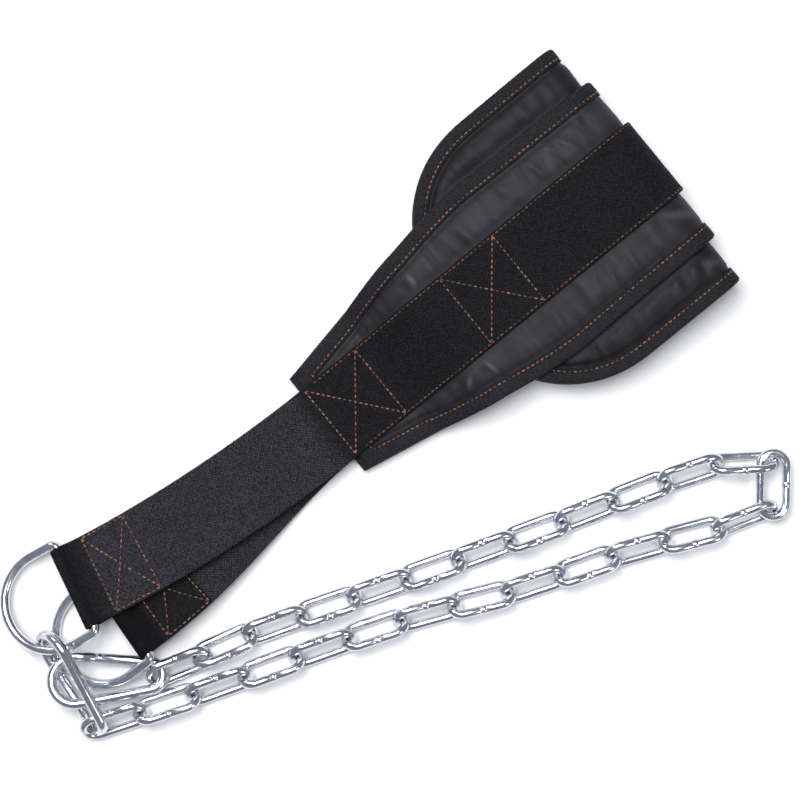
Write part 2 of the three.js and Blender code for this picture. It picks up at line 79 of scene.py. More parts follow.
def main_directions(corners):
    middle = corners.mean(axis=0)
    _, directions = np.linalg.eigh(np.cov((corners - middle).T))
    local = (corners - middle) @ directions
    order = np.argsort(-np.ptp(local, axis=0))
    directions = directions[:, order]
    local = (corners - middle) @ directions
    centre = middle + directions @ ((local.max(axis=0) + local.min(axis=0)) / 2)
    return centre, directions


def place_matrix(origin, x_axis, y_axis):
    z_axis = np.cross(x_axis, y_axis)
    turn = Matrix(np.column_stack([x_axis, y_axis, z_axis]).tolist()).to_4x4()
    return Matrix.Translation(Vector(origin)) @ turn


TURN_LINK_PLACE = (215.05, -48.73)
turn_link = main_directions(corners_of("chain_link_13"))[0]
LAYOUT_SHIFT = np.array([turn_link[0] - TURN_LINK_PLACE[0], turn_link[1] - TURN_LINK_PLACE[1], 0])
print("photo centre in the frame, mm:", LAYOUT_SHIFT.round(2))

# %% [markdown]
# The photo looks almost straight down. The camera hangs over the photo's centre, and its angle is
# set so that a millimetre on the floor is as many pixels as the 50 mm webbing says.

# %% Camera
PIXELS_PER_MM = 1.72
CAMERA_HEIGHT = 1150
HALF_IMAGE = 400
camera_data = bpy.data.cameras.new("photo_camera")
camera_data.sensor_fit = "HORIZONTAL"
camera_data.angle = 2 * math.atan(HALF_IMAGE / PIXELS_PER_MM / CAMERA_HEIGHT)
camera = bpy.data.objects.new("photo_camera", camera_data)
camera.location = Vector((LAYOUT_SHIFT[0], LAYOUT_SHIFT[1], CAMERA_HEIGHT)) * METRES
bpy.context.scene.collection.objects.link(camera)
bpy.context.scene.camera = camera
print("camera angle:", round(math.degrees(camera_data.angle), 2))

# %% [markdown]
# Every colour is written as the hex value seen on a screen. Blender wants linear light, so one
# function turns it. One more function adds a node with its settings and links, which keeps each
# material readable as a recipe.


# %% Colour and node helpers
def linear(hex_colour):
    parts = [int(hex_colour[i:i + 2], 16) / 255 for i in (1, 3, 5)]
    return [p / 12.92 if p <= 0.04045 else ((p + 0.055) / 1.055) ** 2.4 for p in parts] + [1]


def add_node(material, kind, settings=None, links=None):
    node = material.node_tree.nodes.new(kind)
    for key, value in (settings or {}).items():
        if isinstance(key, int) or key in node.inputs:
            node.inputs[key].default_value = value
        else:
            setattr(node, key, value)
    for key, source in (links or {}).items():
        material.node_tree.links.new(source, node.inputs[key])
    return node


def new_material(name, settings):
    material = bpy.data.materials.new(name)
    material.use_nodes = True
    surface = material.node_tree.nodes["Principled BSDF"]
    for key, value in settings.items():
        surface.inputs[key].default_value = value
    return material, surface


def join(material, source, surface, socket):
    material.node_tree.links.new(source, surface.inputs[socket])


# %% [markdown]
# Zinc-plated steel wire: bent, butt-welded and barrel-plated. It is bright, a little blue, and not
# quite a mirror, because plating leaves a fine cloudiness and drawn wire has faint streaks. The
# clouds are about 6 mm across and the grain 0.7 mm, and both are given as cells in a metre.

# %% Zinc-plated steel
CLOUD_CELLS = 160
GRAIN_CELLS = 1400


def zinc_plated_steel():
    material, surface = new_material("zinc_plated_steel", {"Metallic": 1.0, "Roughness": 0.2})
    place = add_node(material, "ShaderNodeTexCoord").outputs["Object"]
    cloud = add_node(
        material, "ShaderNodeTexNoise", {"Scale": CLOUD_CELLS, "Detail": 3}, {"Vector": place},
    )
    tint = add_node(
        material, "ShaderNodeMix",
        {"data_type": "RGBA", 6: linear("#bcc1cb"), 7: linear("#eff1f4")},
        {0: cloud.outputs["Fac"]},
    )
    join(material, tint.outputs[2], surface, "Base Color")
    gloss = add_node(
        material, "ShaderNodeMapRange",
        {"From Min": 0.3, "From Max": 0.7, "To Min": 0.1, "To Max": 0.24},
        {"Value": cloud.outputs["Fac"]},
    )
    join(material, gloss.outputs["Result"], surface, "Roughness")
    grain = add_node(
        material, "ShaderNodeTexNoise", {"Scale": GRAIN_CELLS, "Detail": 2}, {"Vector": place},
    )
    bump = add_node(
        material, "ShaderNodeBump", {"Strength": 0.12, "Distance": 0.2 * METRES},
        {"Height": grain.outputs["Fac"]},
    )
    join(material, bump.outputs["Normal"], surface, "Normal")
    return material


zinc_steel = zinc_plated_steel()
print("metal:", zinc_steel.name)

# %% [markdown]
# The cloth patterns follow the cloth, not space. Each soft mesh carries two attributes. One, called
# flat, is the place of every corner on the cloth as it lay on the cutting table, in metres. The
# other, called tone, is how pale or dark the cloth is painted there. Much of it is painted light and
# shade: painted highlights on crease tops and on the ridge of each webbing loop, and painted shade
# beside creases, in the grooves beside a seam, next to the webbing, on the pad in the strip's shadow
# and round each ring's bar. The binding's rubbed edges are paler. Wear and dust make patches of about
# 17 mm, which is 60 cells in a metre, and they are mixed with the weave's own light and dark.

# %% Cloth colour and bump helper
WEAR_CELLS = 60


def dress_cloth(material, surface, raised, share, colours, depth_mm):
    # tone scales the colour: much of it is painted light and shade, some of it wear.
    tone = add_node(material, "ShaderNodeAttribute", {"attribute_name": "tone"})
    tint = add_node(
        material, "ShaderNodeMix", {"data_type": "RGBA", 6: linear(colours[0]), 7: linear(colours[1])},
        {0: share},
    )
    toned = add_node(
        material, "ShaderNodeVectorMath", {"operation": "SCALE"},
        {0: tint.outputs[2], "Scale": tone.outputs["Fac"]},
    )
    join(material, toned.outputs[0], surface, "Base Color")
    bump = add_node(
        material, "ShaderNodeBump", {"Strength": 0.7, "Distance": depth_mm * METRES}, {"Height": raised},
    )
    join(material, bump.outputs["Normal"], surface, "Normal")
    return material


def mixed_share(material, flat, raised, part):
    wear = add_node(
        material, "ShaderNodeTexNoise", {"Scale": WEAR_CELLS, "Detail": 6}, {"Vector": flat},
    )
    rest = add_node(
        material, "ShaderNodeMath", {"operation": "MULTIPLY", 1: 1 - part}, {0: wear.outputs["Fac"]},
    )
    return add_node(
        material, "ShaderNodeMath", {"operation": "MULTIPLY_ADD", 1: part},
        {0: raised, 2: rest.outputs[0]},
    ).outputs[0]


# %% [markdown]
# A fine cloth is drawn by two sine waves of the thread spacing, one along and one across, which give
# the raised crossings of a weave. One wave holds two threads. Real threads are 0.2 to 0.4 mm, too
# fine for the picture, so they are drawn about twice as coarse.

# %% Fine woven cloth
WEAVE_SHARE = 0.65


def fine_cloth(name, colours, finish, spacing_mm, depth_mm):
    material, surface = new_material(name, finish)
    flat = add_node(material, "ShaderNodeAttribute", {"attribute_name": "flat"}).outputs["Vector"]
    parts = add_node(material, "ShaderNodeSeparateXYZ", links={0: flat})
    waves = []
    for source, spacing in zip(("X", "Y"), spacing_mm):
        turns = add_node(
            material, "ShaderNodeMath",
            {"operation": "MULTIPLY", 1: 2 * math.pi / (spacing * METRES)}, {0: parts.outputs[source]},
        )
        waves.append(add_node(
            material, "ShaderNodeMath", {"operation": "SINE"}, {0: turns.outputs[0]},
        ))
    crossing = add_node(
        material, "ShaderNodeMath", {"operation": "MULTIPLY"},
        {0: waves[0].outputs[0], 1: waves[1].outputs[0]},
    )
    raised = add_node(
        material, "ShaderNodeMapRange", {"From Min": -1.0, "From Max": 1.0},
        {"Value": crossing.outputs[0]},
    ).outputs["Result"]
    share = mixed_share(material, flat, raised, WEAVE_SHARE)
    return dress_cloth(material, surface, raised, share, colours, depth_mm)


# %% [markdown]
# Webbing is woven from bundles of yarn more than a millimetre wide, and each bundle shows as a dot
# of its own brightness. A Voronoi texture with little randomness gives such a slightly uneven grid
# of dots: its distance is the height of each dot, and its cell colour the brightness. The grid is
# turned by 45 degrees, because the bundles of neighbouring rows are offset by half a step.

# %% Coarse woven webbing
DOT_SHARE = 0.85
DOT_TURN = math.radians(45)


def coarse_webbing(name, colours, finish, spacing_mm, depth_mm):
    material, surface = new_material(name, finish)
    flat = add_node(material, "ShaderNodeAttribute", {"attribute_name": "flat"}).outputs["Vector"]
    turned = add_node(
        material, "ShaderNodeMapping", {"Rotation": (0, 0, DOT_TURN)}, {"Vector": flat},
    )
    dots = add_node(
        material, "ShaderNodeTexVoronoi",
        {"voronoi_dimensions": "2D", "Scale": 1 / (spacing_mm * METRES), "Randomness": 0.3},
        {"Vector": turned.outputs["Vector"]},
    )
    raised = add_node(
        material, "ShaderNodeMapRange",
        {"From Min": 0.1, "From Max": 0.62, "To Min": 1.0, "To Max": 0.0},
        {"Value": dots.outputs["Distance"]},
    ).outputs["Result"]
    own = add_node(material, "ShaderNodeSeparateColor", links={0: dots.outputs["Color"]})
    bright = add_node(
        material, "ShaderNodeMapRange", {"To Min": 0.35, "To Max": 1.0}, {"Value": own.outputs[0]},
    )
    lit = add_node(
        material, "ShaderNodeMath", {"operation": "MULTIPLY"},
        {0: raised, 1: bright.outputs["Result"]},
    ).outputs[0]
    share = mixed_share(material, flat, lit, DOT_SHARE)
    return dress_cloth(material, surface, raised, share, colours, depth_mm)


# %% [markdown]
# Four cloths. The webbing is coarse black polypropylene. The panels are coated polyester: a fine
# plain weave under a smooth film that shines a little; the brighter shine on its creases is painted
# in as highlights. The binding is a grained polyester tape. The thread is thick rust-brown
# polyester, twisted. Black cloth loses most of its gloss between its threads, so its specular level
# is low.

# %% The cloths
webbing_cloth = coarse_webbing(
    "polypropylene_webbing", ("#050506", "#2a292e"),
    {"Roughness": 0.75, "Specular IOR Level": 0.1}, 1.35, 0.4,
)
panel_cloth = fine_cloth(
    "coated_polyester", ("#121115", "#3a3840"),
    {"Roughness": 0.55, "Specular IOR Level": 0.18}, (1.3, 1.3), 0.08,
)
tape_cloth = coarse_webbing(
    "grained_polyester_tape", ("#0a0a0c", "#35343b"),
    {"Roughness": 0.7, "Specular IOR Level": 0.14}, 1.0, 0.2,
)
thread = fine_cloth(
    "twisted_polyester_thread", ("#744a3b", "#b07a65"),
    {"Roughness": 0.55, "Specular IOR Level": 0.4}, (0.7, 0.7), 0.08,
)
print("cloths:", ", ".join(m.name for m in (webbing_cloth, panel_cloth, tape_cloth, thread)))


# %% [markdown]
# A finished piece is an object at the origin whose place is in its mesh, as a CAD node's is. It rides
# on a body, gets its material, and hides the plain nodes that it stands for.


# %% Turning a worked-out shape into a piece
def finish_piece(shape, name, material, body, nodes):
    bmesh.ops.scale(shape, vec=(METRES,) * 3, verts=shape.verts)
    for face in shape.faces:
        face.smooth = True
    mesh = bpy.data.meshes.new(name)
    shape.to_mesh(mesh)
    shape.free()
    mesh.materials.append(material)
    piece = bpy.data.objects.new(name, mesh)
    bpy.context.scene.collection.objects.link(piece)
    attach(piece, body)
    if nodes:
        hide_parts(*nodes)
    return piece


# %% [markdown]
# All the metal is round wire. A wire is a circle that is moved along straight stretches and spun
# round bends, which is how a wire bender works too. A curve with a bevel would do as well, but the
# spun circle gives true arcs and an even mesh, and lets one section be pinched or swelled.


# %% Wire bending
WIRE_SIDES = 16
MERGE_DISTANCE = 0.001


def start_wire(shape, centre, direction, wire):
    turn = Vector((0, 0, 1)).rotation_difference(Vector(direction)).to_matrix().to_4x4()
    made = bmesh.ops.create_circle(
        shape, segments=WIRE_SIDES, radius=wire / 2, matrix=Matrix.Translation(Vector(centre)) @ turn,
    )
    ring = set(made["verts"])
    return [e for e in shape.edges if e.verts[0] in ring and e.verts[1] in ring]


def straight(shape, section, move, scale=1.0):
    made = bmesh.ops.extrude_edge_only(shape, edges=section)["geom"]
    ring = {v for v in made if isinstance(v, bmesh.types.BMVert)}
    bmesh.ops.translate(shape, verts=list(ring), vec=Vector(move))
    centre = sum((v.co for v in ring), Vector()) / len(ring)
    for v in ring:
        v.co = centre + (v.co - centre) * scale
    return [e for e in made if isinstance(e, bmesh.types.BMEdge) and set(e.verts) <= ring]


def bend_wire(shape, section, centre, degrees, steps):
    made = bmesh.ops.spin(
        shape, geom=section, cent=Vector(centre), axis=(0, 0, 1), angle=math.radians(degrees),
        steps=steps, use_merge=False, use_duplicate=False,
    )["geom_last"]
    return [e for e in made if isinstance(e, bmesh.types.BMEdge)]


def close_ring(shape):
    bmesh.ops.remove_doubles(shape, verts=shape.verts, dist=MERGE_DISTANCE)
    bmesh.ops.recalc_face_normals(shape, faces=shape.faces)


def close_ends(shape):
    ends = [e for e in shape.edges if e.is_boundary]
    bmesh.ops.holes_fill(shape, edges=ends, sides=0)
    bmesh.ops.recalc_face_normals(shape, faces=shape.faces)


# %% [markdown]
# A chain link is bent from wire and butt-welded in the middle of one side. The weld leaves a low
# bead with a bright line round it, which is the small mark on every link of the photo. The weld is
# turned to the upper side, where the photo shows it.

# %% Chain links
LINK_WIRE = 5.0
LINK_LENGTH = 42.0
LINK_WIDTH = 20.0
LINK_BEND_STEPS = 16
WELD_ROWS = [
    {"at": 1.8, "swell": 1.0},
    {"at": 1.5, "swell": 0.93},
    {"at": 1.15, "swell": 1.05},
    {"at": 0.0, "swell": 1.07},
    {"at": -1.15, "swell": 1.05},
    {"at": -1.5, "swell": 0.93},
    {"at": -1.8, "swell": 1.0},
]
link_arc = (LINK_WIDTH - LINK_WIRE) / 2
link_side = (LINK_LENGTH - LINK_WIDTH) / 2


def link_shape():
    shape = bmesh.new()
    section = start_wire(shape, (-link_side, link_arc, 0), (1, 0, 0), LINK_WIRE)
    section = straight(shape, section, (2 * link_side, 0, 0))
    section = bend_wire(shape, section, (link_side, 0, 0), -180, LINK_BEND_STEPS)
    at = link_side
    size = 1.0
    for row in WELD_ROWS:
        section = straight(shape, section, (row["at"] - at, 0, 0), row["swell"] / size)
        at = row["at"]
        size = row["swell"]
    section = straight(shape, section, (-link_side - at, 0, 0))
    bend_wire(shape, section, (-link_side, 0, 0), -180, LINK_BEND_STEPS)
    close_ring(shape)
    return shape


link_names = sorted(n for n in frame["nodes"] if n.startswith("chain_link_"))
for node in link_names:
    centre, directions = main_directions(corners_of(node))
    long_way = directions[:, 0]
    short_way = directions[:, 1] if directions[2, 1] < 0 else -directions[:, 1]
    shape = link_shape()
    bmesh.ops.transform(shape, matrix=place_matrix(centre, long_way, short_way), verts=shape.verts)
    finish_piece(shape, "steel_" + node, zinc_steel, "root", [node])
print("links:", len(link_names))

# %% [markdown]
# A D-ring is a straight bar with two tight corners, two short sides and a half circle. The webbing
# hides the bar, where the wire's two ends meet.

# %% D-rings
RING_WIRE = 5.6
RING_DEPTH = 45.0
RING_CORNER = 4.0
RING_HALF_WIDTH = 28.5
RING_CORNER_STEPS = 6
RING_ARC_STEPS = 40


def ring_place(node):
    corners = corners_of(node)
    centre, directions = main_directions(corners)
    across = directions[:, 0]
    depth = directions[:, 1]
    along = (corners - centre) @ depth
    aside = np.abs((corners - centre) @ across)
    high_end = aside[along > along.max() - RING_WIRE].mean()
    low_end = aside[along < along.min() + RING_WIRE].mean()
    if high_end > low_end:
        depth = -depth
    bar = centre - depth * RING_DEPTH / 2
    return bar, depth, across


def ring_shape():
    side = RING_HALF_WIDTH - RING_CORNER
    arc_at = RING_DEPTH - RING_HALF_WIDTH
    shape = bmesh.new()
    section = start_wire(shape, (0, side, 0), (0, 1, 0), RING_WIRE)
    section = straight(shape, section, (0, -2 * side, 0))
    section = bend_wire(shape, section, (RING_CORNER, -side, 0), 90, RING_CORNER_STEPS)
    section = straight(shape, section, (arc_at - RING_CORNER, 0, 0))
    section = bend_wire(shape, section, (arc_at, 0, 0), 180, RING_ARC_STEPS)
    section = straight(shape, section, (RING_CORNER - arc_at, 0, 0))
    bend_wire(shape, section, (RING_CORNER, side, 0), 90, RING_CORNER_STEPS)
    close_ring(shape)
    return shape


ring_places = {}
for node in ("d_ring_1", "d_ring_2"):
    bar, depth, across = ring_place(node)
    ring_places[node] = (bar, depth, across)
    shape = ring_shape()
    bmesh.ops.transform(shape, matrix=place_matrix(bar, depth, across), verts=shape.verts)
    finish_piece(shape, "steel_" + node, zinc_steel, "root", [node])
    print(node, "bar at", bar.round(1))

# %% [markdown]
# A spring hook is one bent wire, open at one side, with a hinged gate that closes the opening. The
# hinge in the frame gives the pin's place and direction, and the gate's solid gives the way that
# it points, so the hook is built round them. The gate turns about a rivet. Its heel is rounded, in
# shares of the wire's radius from the rivet, and a groove runs round it near the tip, in millimetres
# before the tip.

# %% Spring hooks
HOOK_WIRE = 6.2
HOOK_LENGTH = 70.0
HOOK_WIDTH = 33.2
HOOK_NARROW_WIDTH = 22.2
GATE_SETBACK = 11.0
PIVOT_SETBACK = 3.0
GATE_GAP = 0.4
HOOK_WIDE_STEPS = 30
HOOK_NARROW_STEPS = 18
NOSE_SIZE = 0.8
NOSE_ROUND = 0.5
HEEL_SIZE = 0.85
GATE_HEEL = [
    {"at": -0.9, "size": 0.4},
    {"at": -0.7, "size": 0.7},
    {"at": -0.35, "size": 0.93},
    {"at": 0.0, "size": 1.0},
]
GATE_TIP = [
    {"at": -3.0, "size": 1.0},
    {"at": -2.6, "size": 0.88},
    {"at": -2.2, "size": 1.0},
    {"at": -0.4, "size": 1.0},
    {"at": 0.0, "size": 0.85},
]
RIVET_RADIUS = 1.5
RIVET_PROUD = 0.7
RIVET_EDGE = 0.35
SHARP_ANGLE = 1.0
hook_wide = (HOOK_WIDTH - HOOK_WIRE) / 2
hook_narrow = (HOOK_NARROW_WIDTH - HOOK_WIRE) / 2
hook_span = HOOK_LENGTH - HOOK_WIRE - hook_wide - hook_narrow
hook_lean = math.asin((hook_wide - hook_narrow) / hook_span)
side_way = Vector((math.cos(hook_lean), -math.sin(hook_lean), 0))
side_out = Vector((math.sin(hook_lean), math.cos(hook_lean), 0))
side_start = side_out * hook_wide
side_end = Vector((hook_span, 0, 0)) + side_out * hook_narrow
gate_tip = side_start + side_way * GATE_SETBACK
gate_pivot = side_end - side_way * PIVOT_SETBACK


def hook_shape():
    lean = math.degrees(hook_lean)
    nose = gate_tip - side_way * GATE_GAP
    heel = gate_pivot + side_way * (HOOK_WIRE / 2 + GATE_GAP)
    back = Vector((side_out.x, -side_out.y, 0))
    shape = bmesh.new()
    section = start_wire(shape, nose, -side_way, HOOK_WIRE * NOSE_SIZE)
    section = straight(shape, section, -side_way * NOSE_ROUND, 1 / NOSE_SIZE)
    section = straight(shape, section, side_start - nose + side_way * NOSE_ROUND)
    section = bend_wire(shape, section, (0, 0, 0), 180 + 2 * lean, HOOK_WIDE_STEPS)
    run = Vector((hook_span, 0, 0)) + back * hook_narrow - back * hook_wide
    section = straight(shape, section, run)
    section = bend_wire(shape, section, (hook_span, 0, 0), 180 - 2 * lean, HOOK_NARROW_STEPS)
    section = straight(shape, section, (heel - side_end) / 2)
    straight(shape, section, (heel - side_end) / 2, HEEL_SIZE)
    close_ends(shape)
    return shape


def gate_shape():
    length = (gate_tip - gate_pivot).length
    radius = HOOK_WIRE / 2
    shape = bmesh.new()
    rows = [(row["at"] * radius, row["size"]) for row in GATE_HEEL]
    rows += [(length + row["at"], row["size"]) for row in GATE_TIP]
    toward = -side_way
    at, size = rows[0]
    section = start_wire(shape, gate_pivot + toward * at, toward, HOOK_WIRE * size)
    for next_at, next_size in rows[1:]:
        section = straight(shape, section, toward * (next_at - at), next_size / size)
        at, size = next_at, next_size
    close_ends(shape)
    rivet = bmesh.ops.create_cone(
        shape, cap_ends=True, segments=WIRE_SIDES, radius1=RIVET_RADIUS, radius2=RIVET_RADIUS,
        depth=HOOK_WIRE + RIVET_PROUD, matrix=Matrix.Translation(gate_pivot),
    )
    rim = [e for v in rivet["verts"] for e in v.link_edges if e.calc_face_angle(0) > SHARP_ANGLE]
    bmesh.ops.bevel(
        shape, geom=list(set(rim)), offset=RIVET_EDGE, segments=2, profile=0.5, affect="EDGES",
        material=-1,
    )
    return shape


for joint in frame["joints"]:
    name = joint["child"].replace("_gate", "")
    pivot = np.array(joint["pos_m"]) / METRES
    hinge = np.array(joint["axis"])
    gate_corners = corners_of(joint["child"])
    far = gate_corners - pivot
    reach = np.linalg.norm(far, axis=1)
    tip_way = far[reach > reach.max() - HOOK_WIRE / 2].mean(axis=0)
    tip_way -= hinge * (tip_way @ hinge)
    tip_way /= np.linalg.norm(tip_way)
    way = -tip_way
    out = np.cross(tip_way, hinge)
    x_axis = math.cos(hook_lean) * way + math.sin(hook_lean) * out
    y_axis = -math.sin(hook_lean) * way + math.cos(hook_lean) * out
    origin = pivot - gate_pivot.x * x_axis - gate_pivot.y * y_axis
    place = place_matrix(origin, x_axis, y_axis)
    for make, body, part in ((hook_shape, "root", "_body"), (gate_shape, joint["child"], "_gate")):
        shape = make()
        bmesh.ops.transform(shape, matrix=place, verts=shape.verts)
        finish_piece(shape, "steel_" + name + part, zinc_steel, body, [name + part])
    print(name, "wide end at", origin.round(1))

# %% [markdown]
# The belt is cut and sewn flat, then folded at its middle. So every soft piece is made flat, with s
# along it from the fold, v across it and n out from its inner face, and one function folds it. It
# follows the belt's side view: flat on the floor, half a circle at the fold, then settling down on
# the lower half and drooping past the pad's end. A simulated fold would settle a little better, but
# four layers that must stay clear of each other and of the rings are surer by formula.

# %% The belt's sizes
PAD_HALF_LENGTH = 138.0
PAD_WIDTH = 168.0
PAD_THICK = 7.0
PAD_RIM = 3.0
PAD_TAPE = 7.8
STRIP_HALF_LENGTH = 232.0
STRIP_WIDTH = 115.0
STRIP_THICK = 4.0
STRIP_RIM = 1.2
STRIP_TAPE = 8.5
WEB_WIDTH = 50.0
WEB_THICK = 2.0
WEB_TAIL_LENGTH = 46.0
WEB_PULL = 158.0 / 3
GAP = 0.3
TAPE_THICK = 0.9
TAPE_GAP = 0.45
RIM_RAMP = 2.0
RIM_SLACK = 1.4
FOLD_RADIUS = 6.0
FOLD_SETTLE_LENGTH = 118.0
LAYERS_APART = 2.5
DROOP_LENGTH = 46.0
SIDE_VIEW_SPARE = 20.0
SIDE_VIEW_STEP = 1.0
FOLD_POINTS = 37
BELT_HEADING = math.radians(39.3)
FOLD_EDGE_ALONG = 201.5
BELT_ASIDE = -15.4
strip_inner = PAD_THICK + GAP
web_middle = strip_inner + STRIP_THICK + GAP + WEB_THICK / 2
stack_thick = web_middle + WEB_THICK / 2
fold_along = FOLD_EDGE_ALONG - FOLD_RADIUS - stack_thick
belt_along = np.array([math.cos(BELT_HEADING), math.sin(BELT_HEADING), 0])
belt_across = np.array([math.sin(BELT_HEADING), -math.cos(BELT_HEADING), 0])


# %% [markdown]
# The side view is a row of points from the lower end, round the fold, to the upper end. A point of
# the flat belt is looked up in it by its distance from the fold, which keeps every length true.


# %% Folding
def side_view():
    reach = STRIP_HALF_LENGTH + SIDE_VIEW_SPARE
    lower = [(fold_along - q, stack_thick) for q in np.arange(reach, 0, -SIDE_VIEW_STEP)]
    turns = np.linspace(-math.pi / 2, math.pi / 2, FOLD_POINTS)
    half_circle = [
        (fold_along + FOLD_RADIUS * math.cos(a), stack_thick + FOLD_RADIUS * (1 + math.sin(a)))
        for a in turns
    ]
    q = np.arange(SIDE_VIEW_STEP, reach, SIDE_VIEW_STEP)
    settle = (2 * FOLD_RADIUS - LAYERS_APART) * smooth_step(q / FOLD_SETTLE_LENGTH)
    droop = 2 * strip_inner + LAYERS_APART - GAP
    drop = droop * smooth_step((q - PAD_HALF_LENGTH + FOLD_RADIUS) / DROOP_LENGTH)
    upper = list(zip(fold_along - q, stack_thick + 2 * FOLD_RADIUS - settle - drop))
    points = np.array(lower + half_circle + upper)
    lengths = np.concatenate([[0], np.cumsum(np.linalg.norm(np.diff(points, axis=0), axis=1))])
    lengths -= lengths[len(lower) + len(half_circle) // 2]
    tangents = np.gradient(points, axis=0)
    tangents /= np.linalg.norm(tangents, axis=1)[:, None]
    return lengths, points, tangents


side_lengths, side_points, side_tangents = side_view()


def fold(s, v, n):
    s, v, n = np.broadcast_arrays(np.asarray(s, float), v, n)
    x, z = (np.interp(s, side_lengths, side_points[:, k]) for k in (0, 1))
    tx, tz = (np.interp(s, side_lengths, side_tangents[:, k]) for k in (0, 1))
    size = np.hypot(tx, tz)
    along = x + n * tz / size
    up = z - n * tx / size
    place = np.multiply.outer(along, belt_along) + np.multiply.outer(v + BELT_ASIDE, belt_across)
    place[..., 2] = up
    return place + LAYOUT_SHIFT


print("belt is", round(stack_thick, 1), "mm thick on each side of the fold")

# %% [markdown]
# The outlines. The strip narrows toward its ends, by a short table of shares. The pad is straight at
# the fold and ends in a squared-off round, a superellipse.

# %% Outlines
STRIP_OUTLINE = [
    {"along": 0.0, "wide": 0.965},
    {"along": 0.16, "wide": 0.975},
    {"along": 0.29, "wide": 0.985},
    {"along": 0.41, "wide": 1.0},
    {"along": 0.53, "wide": 0.945},
    {"along": 0.63, "wide": 0.875},
    {"along": 0.72, "wide": 0.8},
    {"along": 0.86, "wide": 0.69},
    {"along": 1.0, "wide": 0.58},
]
PAD_END_START = 0.46
PAD_END_POWER = 2.2
PAD_END_FLAT = 0.14
PAD_END_POINTS = 60
OUTLINE_BLUR = 0.03
OUTLINE_SPACING = 3.0
CORNER_CLEAR = 2.5


def strip_half_width(s):
    rows = np.array([(row["along"], row["wide"]) for row in STRIP_OUTLINE])
    share = np.abs(s) / STRIP_HALF_LENGTH
    shifts = (-OUTLINE_BLUR, 0, OUTLINE_BLUR)
    near = sum(np.interp(share + k, rows[:, 0], rows[:, 1]) for k in shifts) / len(shifts)
    edge = np.interp(share, rows[:, 0], rows[:, 1])
    calm = smooth_step((1 - share) / (2 * OUTLINE_BLUR))
    return STRIP_WIDTH / 2 * (edge + (near - edge) * calm)


def pad_half_width(s):
    start = PAD_END_START * PAD_HALF_LENGTH
    share = np.clip((np.abs(s) - start) / (PAD_HALF_LENGTH - start), 0, 1)
    height = (1 - share ** PAD_END_POWER) ** (1 / PAD_END_POWER)
    return PAD_WIDTH / 2 * np.maximum(height, PAD_END_FLAT)


def strip_quarter():
    reach = STRIP_HALF_LENGTH - (STRIP_TAPE + CORNER_CLEAR)
    stations = np.append(np.linspace(0, reach, int(reach / OUTLINE_SPACING)), STRIP_HALF_LENGTH)
    return stations, strip_half_width(stations)


def pad_quarter():
    start = PAD_END_START * PAD_HALF_LENGTH
    angle = np.linspace(0, math.pi / 2, PAD_END_POINTS)
    straight_part = np.arange(0, start, OUTLINE_SPACING)
    round_part = start + (PAD_HALF_LENGTH - start) * np.sin(angle) ** (2 / PAD_END_POWER)
    stations = np.concatenate([straight_part, round_part])
    heights = np.concatenate([
        np.full(len(straight_part), PAD_WIDTH / 2),
        PAD_WIDTH / 2 * np.cos(angle) ** (2 / PAD_END_POWER),
    ])
    end_height = PAD_END_FLAT * PAD_WIDTH / 2
    keep = heights > end_height
    return np.append(stations[keep], PAD_HALF_LENGTH), np.append(heights[keep], end_height)


def whole_outline(stations, heights):
    quarter = np.column_stack([stations, heights])
    right = np.vstack([quarter, (quarter * [1, -1])[::-1]])
    return np.vstack([right[:-1], (right * [-1, -1])[:-1]])


def distance_to(outline, points):
    least = np.full(len(points), np.inf)
    for a, b in zip(outline, np.roll(outline, -1, axis=0)):
        side = b - a
        length = side @ side
        if length > 0:
            share = np.clip((points - a) @ side / length, 0, 1)
            gap = np.linalg.norm(points - a - np.outer(share, side), axis=1)
            least = np.minimum(least, gap)
    return least


strip_outline = whole_outline(*strip_quarter())
pad_outline = whole_outline(*pad_quarter())
print("outline points:", len(strip_outline), len(pad_outline))
